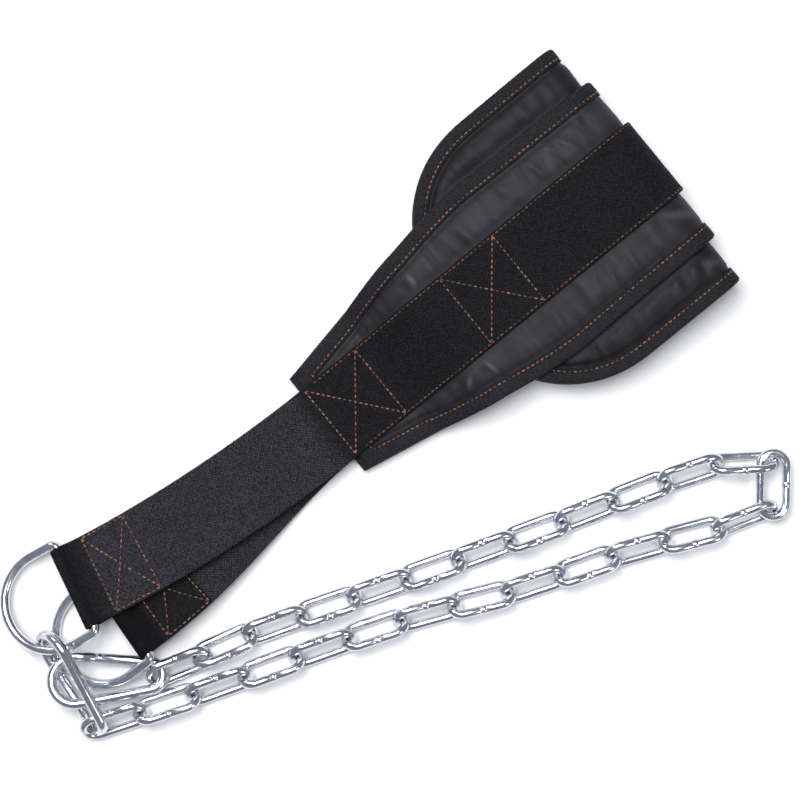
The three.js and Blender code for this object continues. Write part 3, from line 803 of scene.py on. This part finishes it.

# %% [markdown]
# The panels are thin foam between two fabric faces, squeezed flat under the binding. The foam pushes
# the outer face up between its seams, and the seams gather it into small cross wrinkles. A handful of
# sharper creases, where the belt has been folded in use, are placed after the photo. Cloth
# simulation would need a fine mesh to hold such small wrinkles, so they are formed by formula: a
# grid is given thickness, and its corners are moved.

# %% Wrinkles
# Each crease's last value paints a highlight on its crest where it is positive, and painted shade beside
# it where it is negative.
STRIP_CREASES = [
    {"along": 0.616, "across": -0.66, "long": 1.3, "wide": 7, "slant": 0.0, "rise": 1.0, "worn": 2.4},
    {"along": 0.632, "across": -0.64, "long": 1.8, "wide": 7, "slant": 0.1, "rise": -0.8, "worn": -0.3},
    {"along": 0.601, "across": 0.68, "long": 1.3, "wide": 7, "slant": 0.23, "rise": 1.0, "worn": 2.4},
    {"along": 0.616, "across": 0.68, "long": 1.8, "wide": 7, "slant": 0.2, "rise": -0.8, "worn": -0.3},
    {"along": 0.656, "across": 0.70, "long": 1.2, "wide": 4, "slant": -0.57, "rise": 0.9, "worn": 2.2},
    {"along": 0.300, "across": -0.70, "long": 4.0, "wide": 16, "slant": 0.3, "rise": 1.1, "worn": 0.2},
    {"along": 0.215, "across": -0.72, "long": 2.6, "wide": 13, "slant": 0.3, "rise": 1.1, "worn": 0.3},
    {"along": 0.150, "across": -0.72, "long": 2.4, "wide": 13, "slant": 0.2, "rise": 1.1, "worn": 0.3},
    {"along": 0.115, "across": -0.66, "long": 2.0, "wide": 10, "slant": 0.5, "rise": 1.0, "worn": 0.4},
    {"along": 0.080, "across": -0.70, "long": 2.4, "wide": 13, "slant": 0.2, "rise": 1.0, "worn": 0.2},
    {"along": 0.280, "across": 0.72, "long": 2.8, "wide": 13, "slant": -0.3, "rise": 1.0, "worn": 0.3},
    {"along": 0.230, "across": 0.72, "long": 2.4, "wide": 13, "slant": -0.2, "rise": 1.0, "worn": 0.3},
    {"along": 0.170, "across": 0.74, "long": 2.4, "wide": 13, "slant": -0.2, "rise": 1.0, "worn": 0.3},
    {"along": 0.030, "across": 0.62, "long": 1.3, "wide": 8, "slant": 0.5, "rise": 0.7, "worn": 1.5},
    {"along": 0.012, "across": 0.80, "long": 1.3, "wide": 7, "slant": 0.1, "rise": 0.7, "worn": 1.2},
    {"along": 0.400, "across": 0.68, "long": 3.5, "wide": 13, "slant": -0.3, "rise": 1.0, "worn": 0.2},
    {"along": 0.450, "across": -0.66, "long": 3.5, "wide": 13, "slant": 0.3, "rise": 0.9, "worn": 0.2},
]
PAD_CREASES = [
    {"along": 0.040, "across": 0.84, "long": 1.5, "wide": 7, "slant": 0.6, "rise": 0.8, "worn": 2.2},
    {"along": 0.075, "across": 0.84, "long": 1.5, "wide": 6, "slant": -0.5, "rise": 0.8, "worn": 1.6},
    {"along": 0.130, "across": 0.80, "long": 3.4, "wide": 12, "slant": -0.4, "rise": 1.7, "worn": 0.3},
    {"along": 0.220, "across": 0.80, "long": 4.4, "wide": 12, "slant": -0.4, "rise": 1.5, "worn": 0.3},
    {"along": 0.340, "across": 0.78, "long": 6.0, "wide": 12, "slant": -0.3, "rise": 1.2, "worn": 0.2},
    {"along": 0.300, "across": -0.80, "long": 7.0, "wide": 12, "slant": 0.3, "rise": 1.0, "worn": 0.1},
    {"along": 0.550, "across": -0.76, "long": 8.0, "wide": 14, "slant": 0.3, "rise": 1.0, "worn": 0.1},
]
print("creases:", len(STRIP_CREASES), "in the strip,", len(PAD_CREASES), "in the pad")


def creases_at(rows, s, v, half_length, wide):
    height = np.zeros_like(s)
    worn = np.zeros_like(s)
    side = v * np.where(s < 0, -1, 1)
    for row in rows:
        da = np.abs(s) - row["along"] * half_length
        dc = side - row["across"] * wide
        da = da + row["slant"] * dc
        near = np.exp(-(da / row["long"]) ** 2 - (dc / row["wide"]) ** 2)
        height += row["rise"] * near
        # Painted highlights and painted shade of the creases.
        worn += row["worn"] * near
    return height, worn


def cloth_noise(s, v, long_mm, wide_mm, seed):
    return np.array([
        noise.noise(Vector((a / long_mm, b / wide_mm, seed))) for a, b in zip(s, v)
    ])


# %% [markdown]
# These numbers say how far a wrinkle reaches and how high it is, in millimetres. The foam's crown
# fades toward the webbing and the seams, and near the fold, where the outer face is pulled tight. The
# seams gather the fabric most close by. The last two are no lengths: they scale the painted light and
# shade that follow the gathers, and the painted shade beside the seams and the webbing.

# %% Wrinkles of a panel
FOLD_SQUEEZE = 1.2
FOLD_REACH = 18
FOLD_FLATTENS = 0.8
WEB_FADE = 6
WEB_GATHER = 8
SEAM_FADE = 7
CROWN_NOISE = {"long_mm": 13, "wide_mm": 55}
CROWN_LEAST = 0.8
CROWN_UNEVEN = 0.35
GATHER_NOISE = {"long_mm": 4.5, "wide_mm": 22}
GATHER_SEED = 7
GATHER_FIELD = 0.4
GATHER_SEAM = 0.6
GATHER_PAINTED_LIGHT = 0.5
SEAM_SHADE = 0.25


def wrinkles(panel, s, v, wide, from_seam):
    from_web = np.abs(v) - panel["held_to"](s)
    field = smooth_step(from_web / WEB_FADE) * smooth_step(from_seam / SEAM_FADE)
    near = np.exp(-(from_seam / SEAM_FADE) ** 2) + np.exp(-(from_web / WEB_GATHER) ** 2)
    near = np.clip(near, 0, 1)
    crown = cloth_noise(s, v, seed=panel["seed"], **CROWN_NOISE)
    gather = cloth_noise(s, v, seed=panel["seed"] + GATHER_SEED, **GATHER_NOISE)
    crease, worn = creases_at(panel["creases"], s, v, panel["half_length"], wide)
    at_fold = np.exp(-(s / FOLD_REACH) ** 2)
    raised = panel["puff"] * field * (CROWN_LEAST + CROWN_UNEVEN * crown)
    raised *= 1 - FOLD_FLATTENS * at_fold
    raised += field * crease - FOLD_SQUEEZE * at_fold
    raised += np.minimum(field * 2, 1) * (GATHER_FIELD + GATHER_SEAM * near) * gather
    # tone: painted light and shade following the gathered wrinkles, painted highlights and shade of the
    # creases, and painted shade beside the seams and the webbing.
    tone = panel["tone"] * (1 + field * worn + GATHER_PAINTED_LIGHT * gather - SEAM_SHADE * near)
    return raised, tone


# %% [markdown]
# Every soft mesh starts with its two attributes, and gets its places and values in one go. A grid's
# corners are counted along and across, so that each finds its row in a section and its frame.


# %% Starting and shaping a cloth mesh
def start_cloth():
    shape = bmesh.new()
    flat = shape.verts.layers.float_vector.new("flat")
    shade = shape.verts.layers.float.new("tone")
    return shape, flat, shade


def grid_counts(corners, columns, rows):
    i = np.array([round((v.co.x + 1) / 2 * columns) for v in corners])
    j = np.array([round((v.co.y + 1) / 2 * rows) for v in corners])
    return i, j


def shape_cloth(corners, layers, places, along, across, tones):
    flat, shade = layers
    for corner, place, a, b, tone in zip(corners, places, along, across, tones):
        corner.co = place
        corner[flat] = (a * METRES, b * METRES, 0)
        corner[shade] = tone


# %% [markdown]
# A panel is a grid given thickness by an extrusion. The pad's grid is finer toward its round ends,
# where the outline turns fast. The under side is hidden and gets low, slow waves.

# %% Panels
UNDER_NOISE = {"long_mm": 30, "wide_mm": 30}
UNDER_SEED = 13
UNDER_WAVES = 0.3
DARKEST = 0.3
WEB_CLEAR = 0.5
STRIP_CLEAR = 2.5


def panel_piece(panel):
    inner, thick, rim, tape = panel["sizes"]
    columns, rows = panel["grid"]
    shape, *layers = start_cloth()
    bmesh.ops.create_grid(shape, x_segments=columns, y_segments=rows, size=1)
    made = bmesh.ops.extrude_face_region(shape, geom=shape.faces[:])["geom"]
    outer_ones = {v for v in made if isinstance(v, bmesh.types.BMVert)}
    corners = list(shape.verts)
    outer = np.array([v in outer_ones for v in corners])
    x, y = (np.array([v.co[k] for v in corners]) for k in (0, 1))
    share = 1 - (1 - np.clip(np.abs(x), 0, 1)) ** panel["end_power"]
    s = panel["half_length"] * np.sign(x) * share
    wide = panel["half_width"](s)
    v = y * wide
    from_seam = distance_to(panel["outline"], np.column_stack([s, v])) - tape - RIM_SLACK
    swell = smooth_step(from_seam / RIM_RAMP)
    half = rim / 2 + (thick - rim) / 2 * swell
    raised, tone = wrinkles(panel, s, v, wide, from_seam)
    under_noise = cloth_noise(s, v, seed=panel["seed"] + UNDER_SEED, **UNDER_NOISE)
    under = UNDER_WAVES * np.abs(under_noise)
    middle = inner + thick / 2
    n = np.where(outer, middle + half + swell * raised, middle - half + swell * under)
    shape_cloth(corners, layers, fold(s, v, n), s, v, np.maximum(tone, DARKEST))
    bmesh.ops.recalc_face_normals(shape, faces=shape.faces)
    piece = finish_piece(shape, panel["name"], panel_cloth, "root", [panel["node"]])
    print(panel["name"], "faces", len(piece.data.polygons))


strip_sizes = (strip_inner, STRIP_THICK, STRIP_RIM, STRIP_TAPE)
pad_sizes = (0.0, PAD_THICK, PAD_RIM, PAD_TAPE)
PANELS = [
    {
        "name": "outer_strip_panel", "node": "outer_strip", "sizes": strip_sizes,
        "outline": strip_outline, "half_length": STRIP_HALF_LENGTH, "half_width": strip_half_width,
        "held_to": lambda s: np.full_like(s, WEB_WIDTH / 2 + WEB_CLEAR),
        "puff": 1.0, "tone": 1.0, "creases": STRIP_CREASES,
        "grid": (460, 84), "end_power": 1.0, "seed": 3.0,
    },
    {
        "name": "lumbar_pad_panel", "node": "lumbar_pad", "sizes": pad_sizes,
        "outline": pad_outline, "half_length": PAD_HALF_LENGTH, "half_width": pad_half_width,
        "held_to": lambda s: strip_half_width(s) + STRIP_CLEAR,
        # The pad's tone of 0.6 is painted shade: the pad lies in the strip's shadow.
        "puff": 1.2, "tone": 0.6, "creases": PAD_CREASES,
        "grid": (250, 120), "end_power": 1.5, "seed": 11.0,
    },
]
for panel in PANELS:
    panel_piece(panel)

# %% [markdown]
# A binding is one tape folded over the raw edge and sewn through. It is a grid, with its length
# round the outline and its width over the edge, then thickened by a Solidify modifier. The seam
# pulls the tape down along the stitches and leaves it a little round at the edge. The section goes
# inwards from the raw edge: its insets say how far in a row lies, its rises how high.

# %% Bindings
SEAM_INSET = 1.9
SEAM_ROW = 2
SHOULDER_INSET = 0.7
BANK_INSET = 1.3
CROWN_SHARE = 0.45
TAPE_RISES = [-0.18, 0.0, -0.3, 0.05, 0.12, 0.08, 0.0]
TURN_POINTS = 9
TAPE_WAVE = 0.12
TAPE_WAVE_SIZE = 9
TAPE_RUBBED = 0.6
TAPE_RUBBED_ROWS = 1.6
SEAM_DIP_SHADE = 0.55
TAPE_EDGE_SHADE = 0.5
CLOTH_MERGE = 0.0005


def inward_ways(outline):
    before = outline - np.roll(outline, 1, axis=0)
    after = np.roll(outline, -1, axis=0) - outline
    before /= np.linalg.norm(before, axis=1)[:, None]
    after /= np.linalg.norm(after, axis=1)[:, None]
    n1 = np.column_stack([before[:, 1], -before[:, 0]])
    n2 = np.column_stack([after[:, 1], -after[:, 0]])
    return (n1 + n2) / (1 + (n1 * n2).sum(axis=1))[:, None]


def tape_section(tape, rim):
    outside = rim / 2 + TAPE_GAP + TAPE_THICK
    edge = TAPE_GAP + TAPE_THICK
    seam = tape - SEAM_INSET
    insets = [tape, tape - SHOULDER_INSET, seam, seam - BANK_INSET, tape * CROWN_SHARE, 1.0, 0.0]
    top = [(inset, outside + rise) for inset, rise in zip(insets, TAPE_RISES)]
    angles = np.linspace(0, math.pi, TURN_POINTS)[1:-1]
    turn = [(-edge * math.sin(a), outside * math.cos(a)) for a in angles]
    return top + turn + [(inset, -n) for inset, n in reversed(top)]


def binding(name, node, outline, sizes, seed):
    inner, thick, rim, tape = sizes
    middle = inner + thick / 2
    section = np.array(tape_section(tape, rim))
    ways = inward_ways(outline)
    rows, columns = len(section) - 1, len(outline)
    lengths = np.concatenate([[0], np.cumsum(np.linalg.norm(np.diff(outline, axis=0), axis=1))])
    shape, *layers = start_cloth()
    bmesh.ops.create_grid(shape, x_segments=columns, y_segments=rows, size=1)
    corners = list(shape.verts)
    i, j = grid_counts(corners, columns, rows)
    wave = cloth_noise(lengths[i % columns], section[j, 0], TAPE_WAVE_SIZE, TAPE_WAVE_SIZE, seed)
    unfolded = np.concatenate([[0], np.cumsum(np.linalg.norm(np.diff(section, axis=0), axis=1))])
    at = outline[i % columns] + ways[i % columns] * section[j, 0][:, None]
    n = middle + section[j, 1] + TAPE_WAVE * wave * np.sign(section[j, 1])
    tone = 1 + TAPE_RUBBED * np.exp(-((j - rows / 2) / TAPE_RUBBED_ROWS) ** 2)
    # Painted shade: the rows in the seam's dip and along the tape's inner edges are darker.
    tone = np.where((j == SEAM_ROW) | (j == rows - SEAM_ROW), SEAM_DIP_SHADE, tone)
    tone = np.where((j == 0) | (j == rows), TAPE_EDGE_SHADE, tone)
    places = fold(at[:, 0], at[:, 1], n)
    shape_cloth(corners, layers, places, lengths[i % columns], unfolded[j], tone)
    bmesh.ops.remove_doubles(shape, verts=shape.verts, dist=CLOTH_MERGE)
    bmesh.ops.recalc_face_normals(shape, faces=shape.faces)
    piece = finish_piece(shape, name, tape_cloth, "root", [node])
    wall = piece.modifiers.new("tape_thickness", "SOLIDIFY")
    wall.thickness = TAPE_THICK * METRES
    wall.offset = -1
    width = unfolded[-1]
    around = lengths[-1] + np.linalg.norm(outline[0] - outline[-1])
    print(name, "tape", round(width, 1), "x", round(around, 1), "mm")
    return piece, width, around


strip_tape = binding("strip_binding_tape", "strip_binding", strip_outline, strip_sizes, 21.0)
pad_tape = binding("pad_binding_tape", "pad_binding", pad_outline, pad_sizes, 29.0)

# %% [markdown]
# One webbing runs the whole length. On the belt it follows the fold. At each end it leaves the strip,
# runs down to its ring in a gentle curve, turns round the bar and comes back on itself, where it is
# sewn down. Each place along it is a frame: a point, a way across and a way out. The free curve is a
# Bezier curve of four pulls, and its neck, where the two layers part to go round the bar, is as long
# as a share of the loop's radius says.

# %% Webbing frames
NECK_SHARE = 2.6
CURVE_POINTS = 61
LOOP_POINTS = 25
WEB_STEP = 2.5
NEAR_FOLD_ARCS = 4
NEAR_FOLD_POINTS = 90


def unit(vector):
    return vector / np.linalg.norm(vector)


def belt_frames(stations):
    point = fold(stations, 0, web_middle)
    out = fold(stations, 0, web_middle + 1) - point
    return [(p, belt_across, o) for p, o in zip(point, out)]


def free_end(node, side):
    bar, depth, bar_way = ring_places[node]
    start = belt_frames(np.array([side * STRIP_HALF_LENGTH]))[0][0]
    end_way = unit(np.array([depth[0], depth[1], 0]))
    end_way = unit(end_way - bar_way * (end_way @ bar_way))
    up = np.cross(end_way, bar_way)
    out = up * np.sign(up[2]) * side
    loop = (RING_WIRE + WEB_THICK) / 2 + GAP
    half_stack = (WEB_THICK + GAP) / 2
    neck = NECK_SHARE * loop
    arrive = bar - neck * end_way + half_stack * out
    pulls = [start, start - belt_along * WEB_PULL, arrive - end_way * WEB_PULL, arrive]
    bar_out = bar_way if bar_way @ belt_across > 0 else -bar_way
    main = []
    for t in np.linspace(0, 1, CURVE_POINTS)[1:]:
        weights = [(1 - t) ** 3, 3 * t * (1 - t) ** 2, 3 * t * t * (1 - t), t ** 3]
        slopes = [-(1 - t) ** 2, (1 - t) ** 2 - 2 * t * (1 - t), 2 * t * (1 - t) - t * t, t * t]
        point = sum(w * p for w, p in zip(weights, pulls))
        tangent = unit(sum(w * p for w, p in zip(slopes, pulls)))
        across = belt_across + (bar_out - belt_across) * smooth_step(t)
        across = unit(across - tangent * (across @ tangent))
        normal = np.cross(across, tangent)
        if normal[2] * side < 0:
            normal = -normal
        main.append((point, across, normal))
    lean = math.degrees(math.asin((loop - half_stack) / neck))
    turn = []
    for angle in np.radians(np.linspace(90 + lean, -90 - lean, LOOP_POINTS)):
        ray = math.cos(angle) * end_way + math.sin(angle) * out
        turn.append((bar + loop * ray, bar_out, ray))
    turn.append((bar - neck * end_way - half_stack * out, bar_out, -out))
    tail = []
    back = 0.0
    for before, frame_at in zip(main[::-1], main[-2::-1]):
        back += np.linalg.norm(before[0] - frame_at[0])
        if back > WEB_TAIL_LENGTH - neck:
            break
        point, across, normal = frame_at
        tail.append((point - 2 * half_stack * normal, across, -normal))
    return main, turn, tail


upper_end = free_end("d_ring_1", 1)
lower_end = free_end("d_ring_2", -1)
near_fold = NEAR_FOLD_ARCS * FOLD_RADIUS * math.pi / 2
web_stations = np.concatenate([
    np.arange(-STRIP_HALF_LENGTH, -near_fold, WEB_STEP),
    np.linspace(-near_fold, near_fold, NEAR_FOLD_POINTS),
    np.arange(near_fold + WEB_STEP, STRIP_HALF_LENGTH, WEB_STEP),
    [STRIP_HALF_LENGTH],
])


# %% [markdown]
# The webbing is darkest round each ring's bar and in the plain band beside it, which is painted
# shade where it dips behind the bar, and palest on the free stretch between ring and strip. The
# ridge of the loop gets a painted highlight.

# %% How pale the webbing is
FREE_STRETCH_PALE = 1.8
BAR_SHADE_TONE = 0.45
FREE_PALE_RAMP = 14
PLAIN_BAND = 13
PLAIN_FADE = 2.5
RIDGE_HIGHLIGHT = 0.7
RIDGE_AT = 4
RIDGE_SPREAD = 2.5
neck_length = NECK_SHARE * ((RING_WIRE + WEB_THICK) / 2 + GAP)


def from_bar_lengths(main):
    points = np.array([f[0] for f in main])
    steps = np.linalg.norm(np.diff(points, axis=0), axis=1)
    return neck_length + np.concatenate([np.cumsum(steps[::-1])[::-1], [0]])


def end_tones(end):
    main, turn, tail = end
    from_bar = from_bar_lengths(main)
    free_pale = smooth_step((from_bar.max() - from_bar) / FREE_PALE_RAMP)
    plain = smooth_step((from_bar - PLAIN_BAND) / PLAIN_FADE)
    # Paler on the free stretch, with painted shade in the band next to the bar.
    tones = (1 + FREE_STRETCH_PALE * free_pale) * (BAR_SHADE_TONE + (1 - BAR_SHADE_TONE) * plain)
    from_ridge = (np.arange(len(turn)) - RIDGE_AT) / RIDGE_SPREAD
    # Painted shade round the loop, with a painted highlight on its ridge.
    ridge = BAR_SHADE_TONE + RIDGE_HIGHLIGHT * np.exp(-from_ridge ** 2)
    return list(tones) + list(ridge) + [1.0] * len(tail)


web_tones = np.array(end_tones(lower_end)[::-1] + [1.0] * len(web_stations) + end_tones(upper_end))
lower_frames = [f for stretch in lower_end for f in stretch][::-1]
upper_frames = [f for stretch in upper_end for f in stretch]
web_frames = lower_frames + belt_frames(web_stations) + upper_frames
web_lengths = np.concatenate([[0], np.cumsum([
    np.linalg.norm(b[0] - a[0]) for a, b in zip(web_frames, web_frames[1:])
])])
print("webbing length", round(web_lengths[-1]), "mm")

# %% [markdown]
# The webbing's section is a flat band with rounded edges. A grid is wrapped round that section and
# run through the frames, then its two ends are closed.

# %% Webbing
EDGE_ROUND = 0.95
EDGE_ANGLES = [60, 20, -20, -60]
FLAT_POINTS = 23
RIPPLE = 0.1
RIPPLE_NOISE = {"long_mm": 11, "wide_mm": 18, "seed": 41.0}


def band_section():
    half, flat_half = WEB_WIDTH / 2, WEB_WIDTH / 2 - EDGE_ROUND
    across = np.linspace(-flat_half, flat_half, FLAT_POINTS)
    top = [(v, WEB_THICK / 2) for v in across]
    rounds = np.radians(EDGE_ANGLES)
    right = [(flat_half + EDGE_ROUND * math.cos(a), WEB_THICK / 2 * math.sin(a)) for a in rounds]
    bottom = [(-v, -n) for v, n in top]
    left = [(-v, -n) for v, n in right]
    return np.array(top + right + bottom + left)


def webbing_piece():
    section = band_section()
    columns, rows = len(web_frames) - 1, len(section)
    points, across, out = (np.array([f[k] for f in web_frames]) for k in range(3))
    shape, *layers = start_cloth()
    bmesh.ops.create_grid(shape, x_segments=columns, y_segments=rows, size=1)
    corners = list(shape.verts)
    i, j = grid_counts(corners, columns, rows)
    v, n = section[j % rows].T
    ripple = RIPPLE * cloth_noise(web_lengths[i], v, **RIPPLE_NOISE)
    places = points[i] + across[i] * v[:, None] + out[i] * (n * (1 + ripple))[:, None]
    shape_cloth(corners, layers, places, web_lengths[i], v, web_tones[i])
    bmesh.ops.remove_doubles(shape, verts=shape.verts, dist=CLOTH_MERGE)
    bmesh.ops.holes_fill(shape, edges=[e for e in shape.edges if e.is_boundary], sides=0)
    bmesh.ops.recalc_face_normals(shape, faces=shape.faces)
    return finish_piece(shape, "webbing_band", webbing_cloth, "root", ["webbing"])


webbing = webbing_piece()
print("webbing faces:", len(webbing.data.polygons))

# %% [markdown]
# Rust-brown thread holds everything together: along both bindings, along both edges of the webbing,
# and in boxes with a cross where the webbing carries load. One stitch is a short bead, thicker in
# the middle where the thread rises from one hole and sinks into the next. There are so many that
# each is a small sphere of a few faces, stretched along its row, and all the beads of a seam are
# joined into one mesh. Each seam has a tone of its own, darkest along the webbing's edges, and each
# stitch varies a little about it.

# %% Stitches
STITCH_PITCH = 3.1
STITCH_LENGTH = 2.5
STITCH_WIDTH = 1.0
STITCH_HEIGHT = 0.8
STITCH_SINK = 0.15
LEAST_THREAD_TONE = 0.75
THREAD_TONE_RANGE = 0.5
CELLS_IN_MM = 1.3
BINDING_SEAM_TONE = 0.8
EDGE_SEAM_TONE = 0.45
BOX_SEAM_TONE = 0.9


def stitch_places(points, normals):
    steps = np.linalg.norm(np.diff(points, axis=0), axis=1)
    lengths = np.concatenate([[0], np.cumsum(steps)])
    count = max(int(lengths[-1] / STITCH_PITCH), 1)
    centres = (np.arange(count) + 0.5) * lengths[-1] / count

    def at(values, where):
        return np.column_stack([np.interp(where, lengths, values[:, k]) for k in range(3)])

    middle = at(points, centres)
    way = at(points, centres + 0.5) - at(points, centres - 0.5)
    places = []
    for m, w, o in zip(middle, way, at(normals, centres)):
        w = unit(w)
        o = unit(o - w * (o @ w))
        size = (w * STITCH_LENGTH / 2, np.cross(o, w) * STITCH_WIDTH / 2, o * STITCH_HEIGHT / 2)
        place = Matrix(np.column_stack(size).tolist()).to_4x4()
        place.translation = Vector(m)
        places.append(place)
    return places


def sew_row(places, tone):
    row, flat, shade = start_cloth()
    for place in places:
        made = bmesh.ops.create_uvsphere(row, u_segments=6, v_segments=4, radius=1, matrix=place)
        own = noise.cell(place.translation * CELLS_IN_MM)
        own_tone = tone * (LEAST_THREAD_TONE + THREAD_TONE_RANGE * own)
        for v in made["verts"]:
            v[flat] = v.co * METRES
            v[shade] = own_tone
    bmesh.ops.recalc_face_normals(row, faces=row.faces)
    mesh = bpy.data.meshes.new("stitch_row")
    row.to_mesh(mesh)
    row.free()
    return mesh


def seam_piece(name, rows, tone):
    shape = bmesh.new()
    count = 0
    for points, normals in rows:
        places = stitch_places(points, normals)
        mesh = sew_row(places, tone)
        shape.from_mesh(mesh)
        bpy.data.meshes.remove(mesh)
        count += len(places)
    finish_piece(shape, name, thread, "root", [])
    print(name, count, "stitches")


def binding_rows(outline, sizes):
    inner, thick, rim, tape = sizes
    middle = inner + thick / 2
    at = outline + inward_ways(outline) * (tape - SEAM_INSET)
    at = np.vstack([at, at[:1]])
    rows = []
    for side in (1, -1):
        n = middle + side * (rim / 2 + TAPE_GAP + TAPE_THICK - STITCH_SINK)
        points = fold(at[:, 0], at[:, 1], n)
        rows.append((points, side * (fold(at[:, 0], at[:, 1], n + 1) - points)))
    return rows


seam_piece("strip_binding_stitches", binding_rows(strip_outline, strip_sizes), BINDING_SEAM_TONE)
seam_piece("pad_binding_stitches", binding_rows(pad_outline, pad_sizes), BINDING_SEAM_TONE)

# %% [markdown]
# On the strip, the webbing is sewn along both edges and in two crossed boxes on each half of the
# belt, whose places are measured from the fold. At each ring, one crossed box holds the tail, and it
# is measured from the ring's bar. Its stitches show on both faces, through both layers.

# %% Stitches of the webbing
EDGE_SEAM_INSET = 1.6
EDGE_SEAM = WEB_WIDTH / 2 - EDGE_SEAM_INSET
EDGE_SEAM_START = 4
EDGE_SEAM_STOP = 3
EDGE_SEAM_STEP = 1.5
STITCH_LIFT = 0.1
LINE_POINTS = 24
STRIP_BOXES = [{"from": 197, "to": 234.5}, {"from": 91.2, "to": 131.3}]
END_BOX = {"from": 15.2, "to": 43.2}
web_face = web_middle + WEB_THICK / 2


def on_strip(s, v):
    s, v = np.broadcast_arrays(np.asarray(s, float), np.asarray(v, float))
    points = fold(s, v, web_face)
    return points, fold(s, v, web_face + 1) - points


def box_lines(first, last, edge, with_sides):
    t = np.linspace(0, 1, LINE_POINTS)
    run = first + (last - first) * t
    lines = [
        (np.full_like(t, first), edge * (2 * t - 1)),
        (np.full_like(t, last), edge * (2 * t - 1)),
        (run, edge * (2 * t - 1)),
        (run, edge * (1 - 2 * t)),
    ]
    if with_sides:
        lines += [(run, np.full_like(t, edge)), (run, np.full_like(t, -edge))]
    return lines


edge_rows = []
box_rows = []
edge_run = np.arange(
    -STRIP_HALF_LENGTH + EDGE_SEAM_START, STRIP_HALF_LENGTH - EDGE_SEAM_STOP, EDGE_SEAM_STEP,
)
for v in (-EDGE_SEAM, EDGE_SEAM):
    edge_rows.append(on_strip(edge_run, v))
for box in STRIP_BOXES:
    for side in (1, -1):
        for s, v in box_lines(side * box["from"], side * box["to"], EDGE_SEAM, False):
            box_rows.append(on_strip(s, v))


def end_rows(end):
    main = end[0]
    points, across, out = (np.array([f[k] for f in main]) for k in range(3))
    from_bar = from_bar_lengths(main)
    order = slice(None, None, -1)
    rows = []
    for distance, v in box_lines(END_BOX["from"], END_BOX["to"], EDGE_SEAM, True):
        p, a, o = (
            np.column_stack([np.interp(distance, from_bar[order], values[order, k]) for k in range(3)])
            for values in (points, across, out)
        )
        lie = p + a * v[:, None]
        rows.append((lie + o * (WEB_THICK / 2 + STITCH_LIFT), o))
        rows.append((lie - o * (WEB_THICK * 1.5 + GAP + STITCH_LIFT), -o))
    return rows


seam_piece("webbing_edge_stitches", edge_rows, EDGE_SEAM_TONE)
for end in (upper_end, lower_end):
    box_rows += end_rows(end)
seam_piece("webbing_box_stitches", box_rows, BOX_SEAM_TONE)

# %% [markdown]
# Each binding is a strip of tape that was flat before it was folded, so its width is the way round
# its section, and its length the way round its panel.

# %% [markdown]
# The studio. A pale floor, a broad soft light from above and a little from the side, and a grey
# surround. The grey gives the bright wire something dark to reflect, as the photo's steel has. The
# floor is half a millimetre below the belt, because two faces in one plane would flicker.

# %% Floor and light
FLOOR_GAP = 0.5 * METRES
FLOOR_HALF = 3
SURROUND_STRENGTH = 0.5
floor_shape = bmesh.new()
bmesh.ops.create_grid(
    floor_shape, x_segments=1, y_segments=1, size=FLOOR_HALF,
    matrix=Matrix.Translation((0, 0, -FLOOR_GAP)),
)
floor_mesh = bpy.data.meshes.new("floor")
floor_shape.to_mesh(floor_mesh)
floor_shape.free()
floor_material, floor_surface = new_material("matt_white_paper", {"Roughness": 0.9})
floor_surface.inputs["Base Color"].default_value = linear("#fbfbfb")
floor_mesh.materials.append(floor_material)
floor = bpy.data.objects.new("floor", floor_mesh)
bpy.context.scene.collection.objects.link(floor)

LIGHTS = [
    {"name": "sky_light", "at": (-0.3, 0.4, 1.7), "size": 0.9, "watts": 31},
    {"name": "side_light", "at": (0.9, -0.6, 1.0), "size": 0.35, "watts": 3.5},
    {"name": "back_light", "at": (-0.9, 0.9, 0.8), "size": 0.3, "watts": 2.5},
]
for row in LIGHTS:
    data = bpy.data.lights.new(row["name"], "AREA")
    data.energy = row["watts"]
    data.size = row["size"]
    light = bpy.data.objects.new(row["name"], data)
    light.location = row["at"]
    light.rotation_euler = (-Vector(row["at"])).to_track_quat("-Z", "Y").to_euler()
    bpy.context.scene.collection.objects.link(light)
world = bpy.data.worlds.new("grey_surround")
world.use_nodes = True
surround = world.node_tree.nodes["Background"]
surround.inputs["Color"].default_value = linear("#b4b8c4")
surround.inputs["Strength"].default_value = SURROUND_STRENGTH
bpy.context.scene.world = world
bpy.context.scene.view_settings.view_transform = "Standard"
print("lights:", len(LIGHTS))
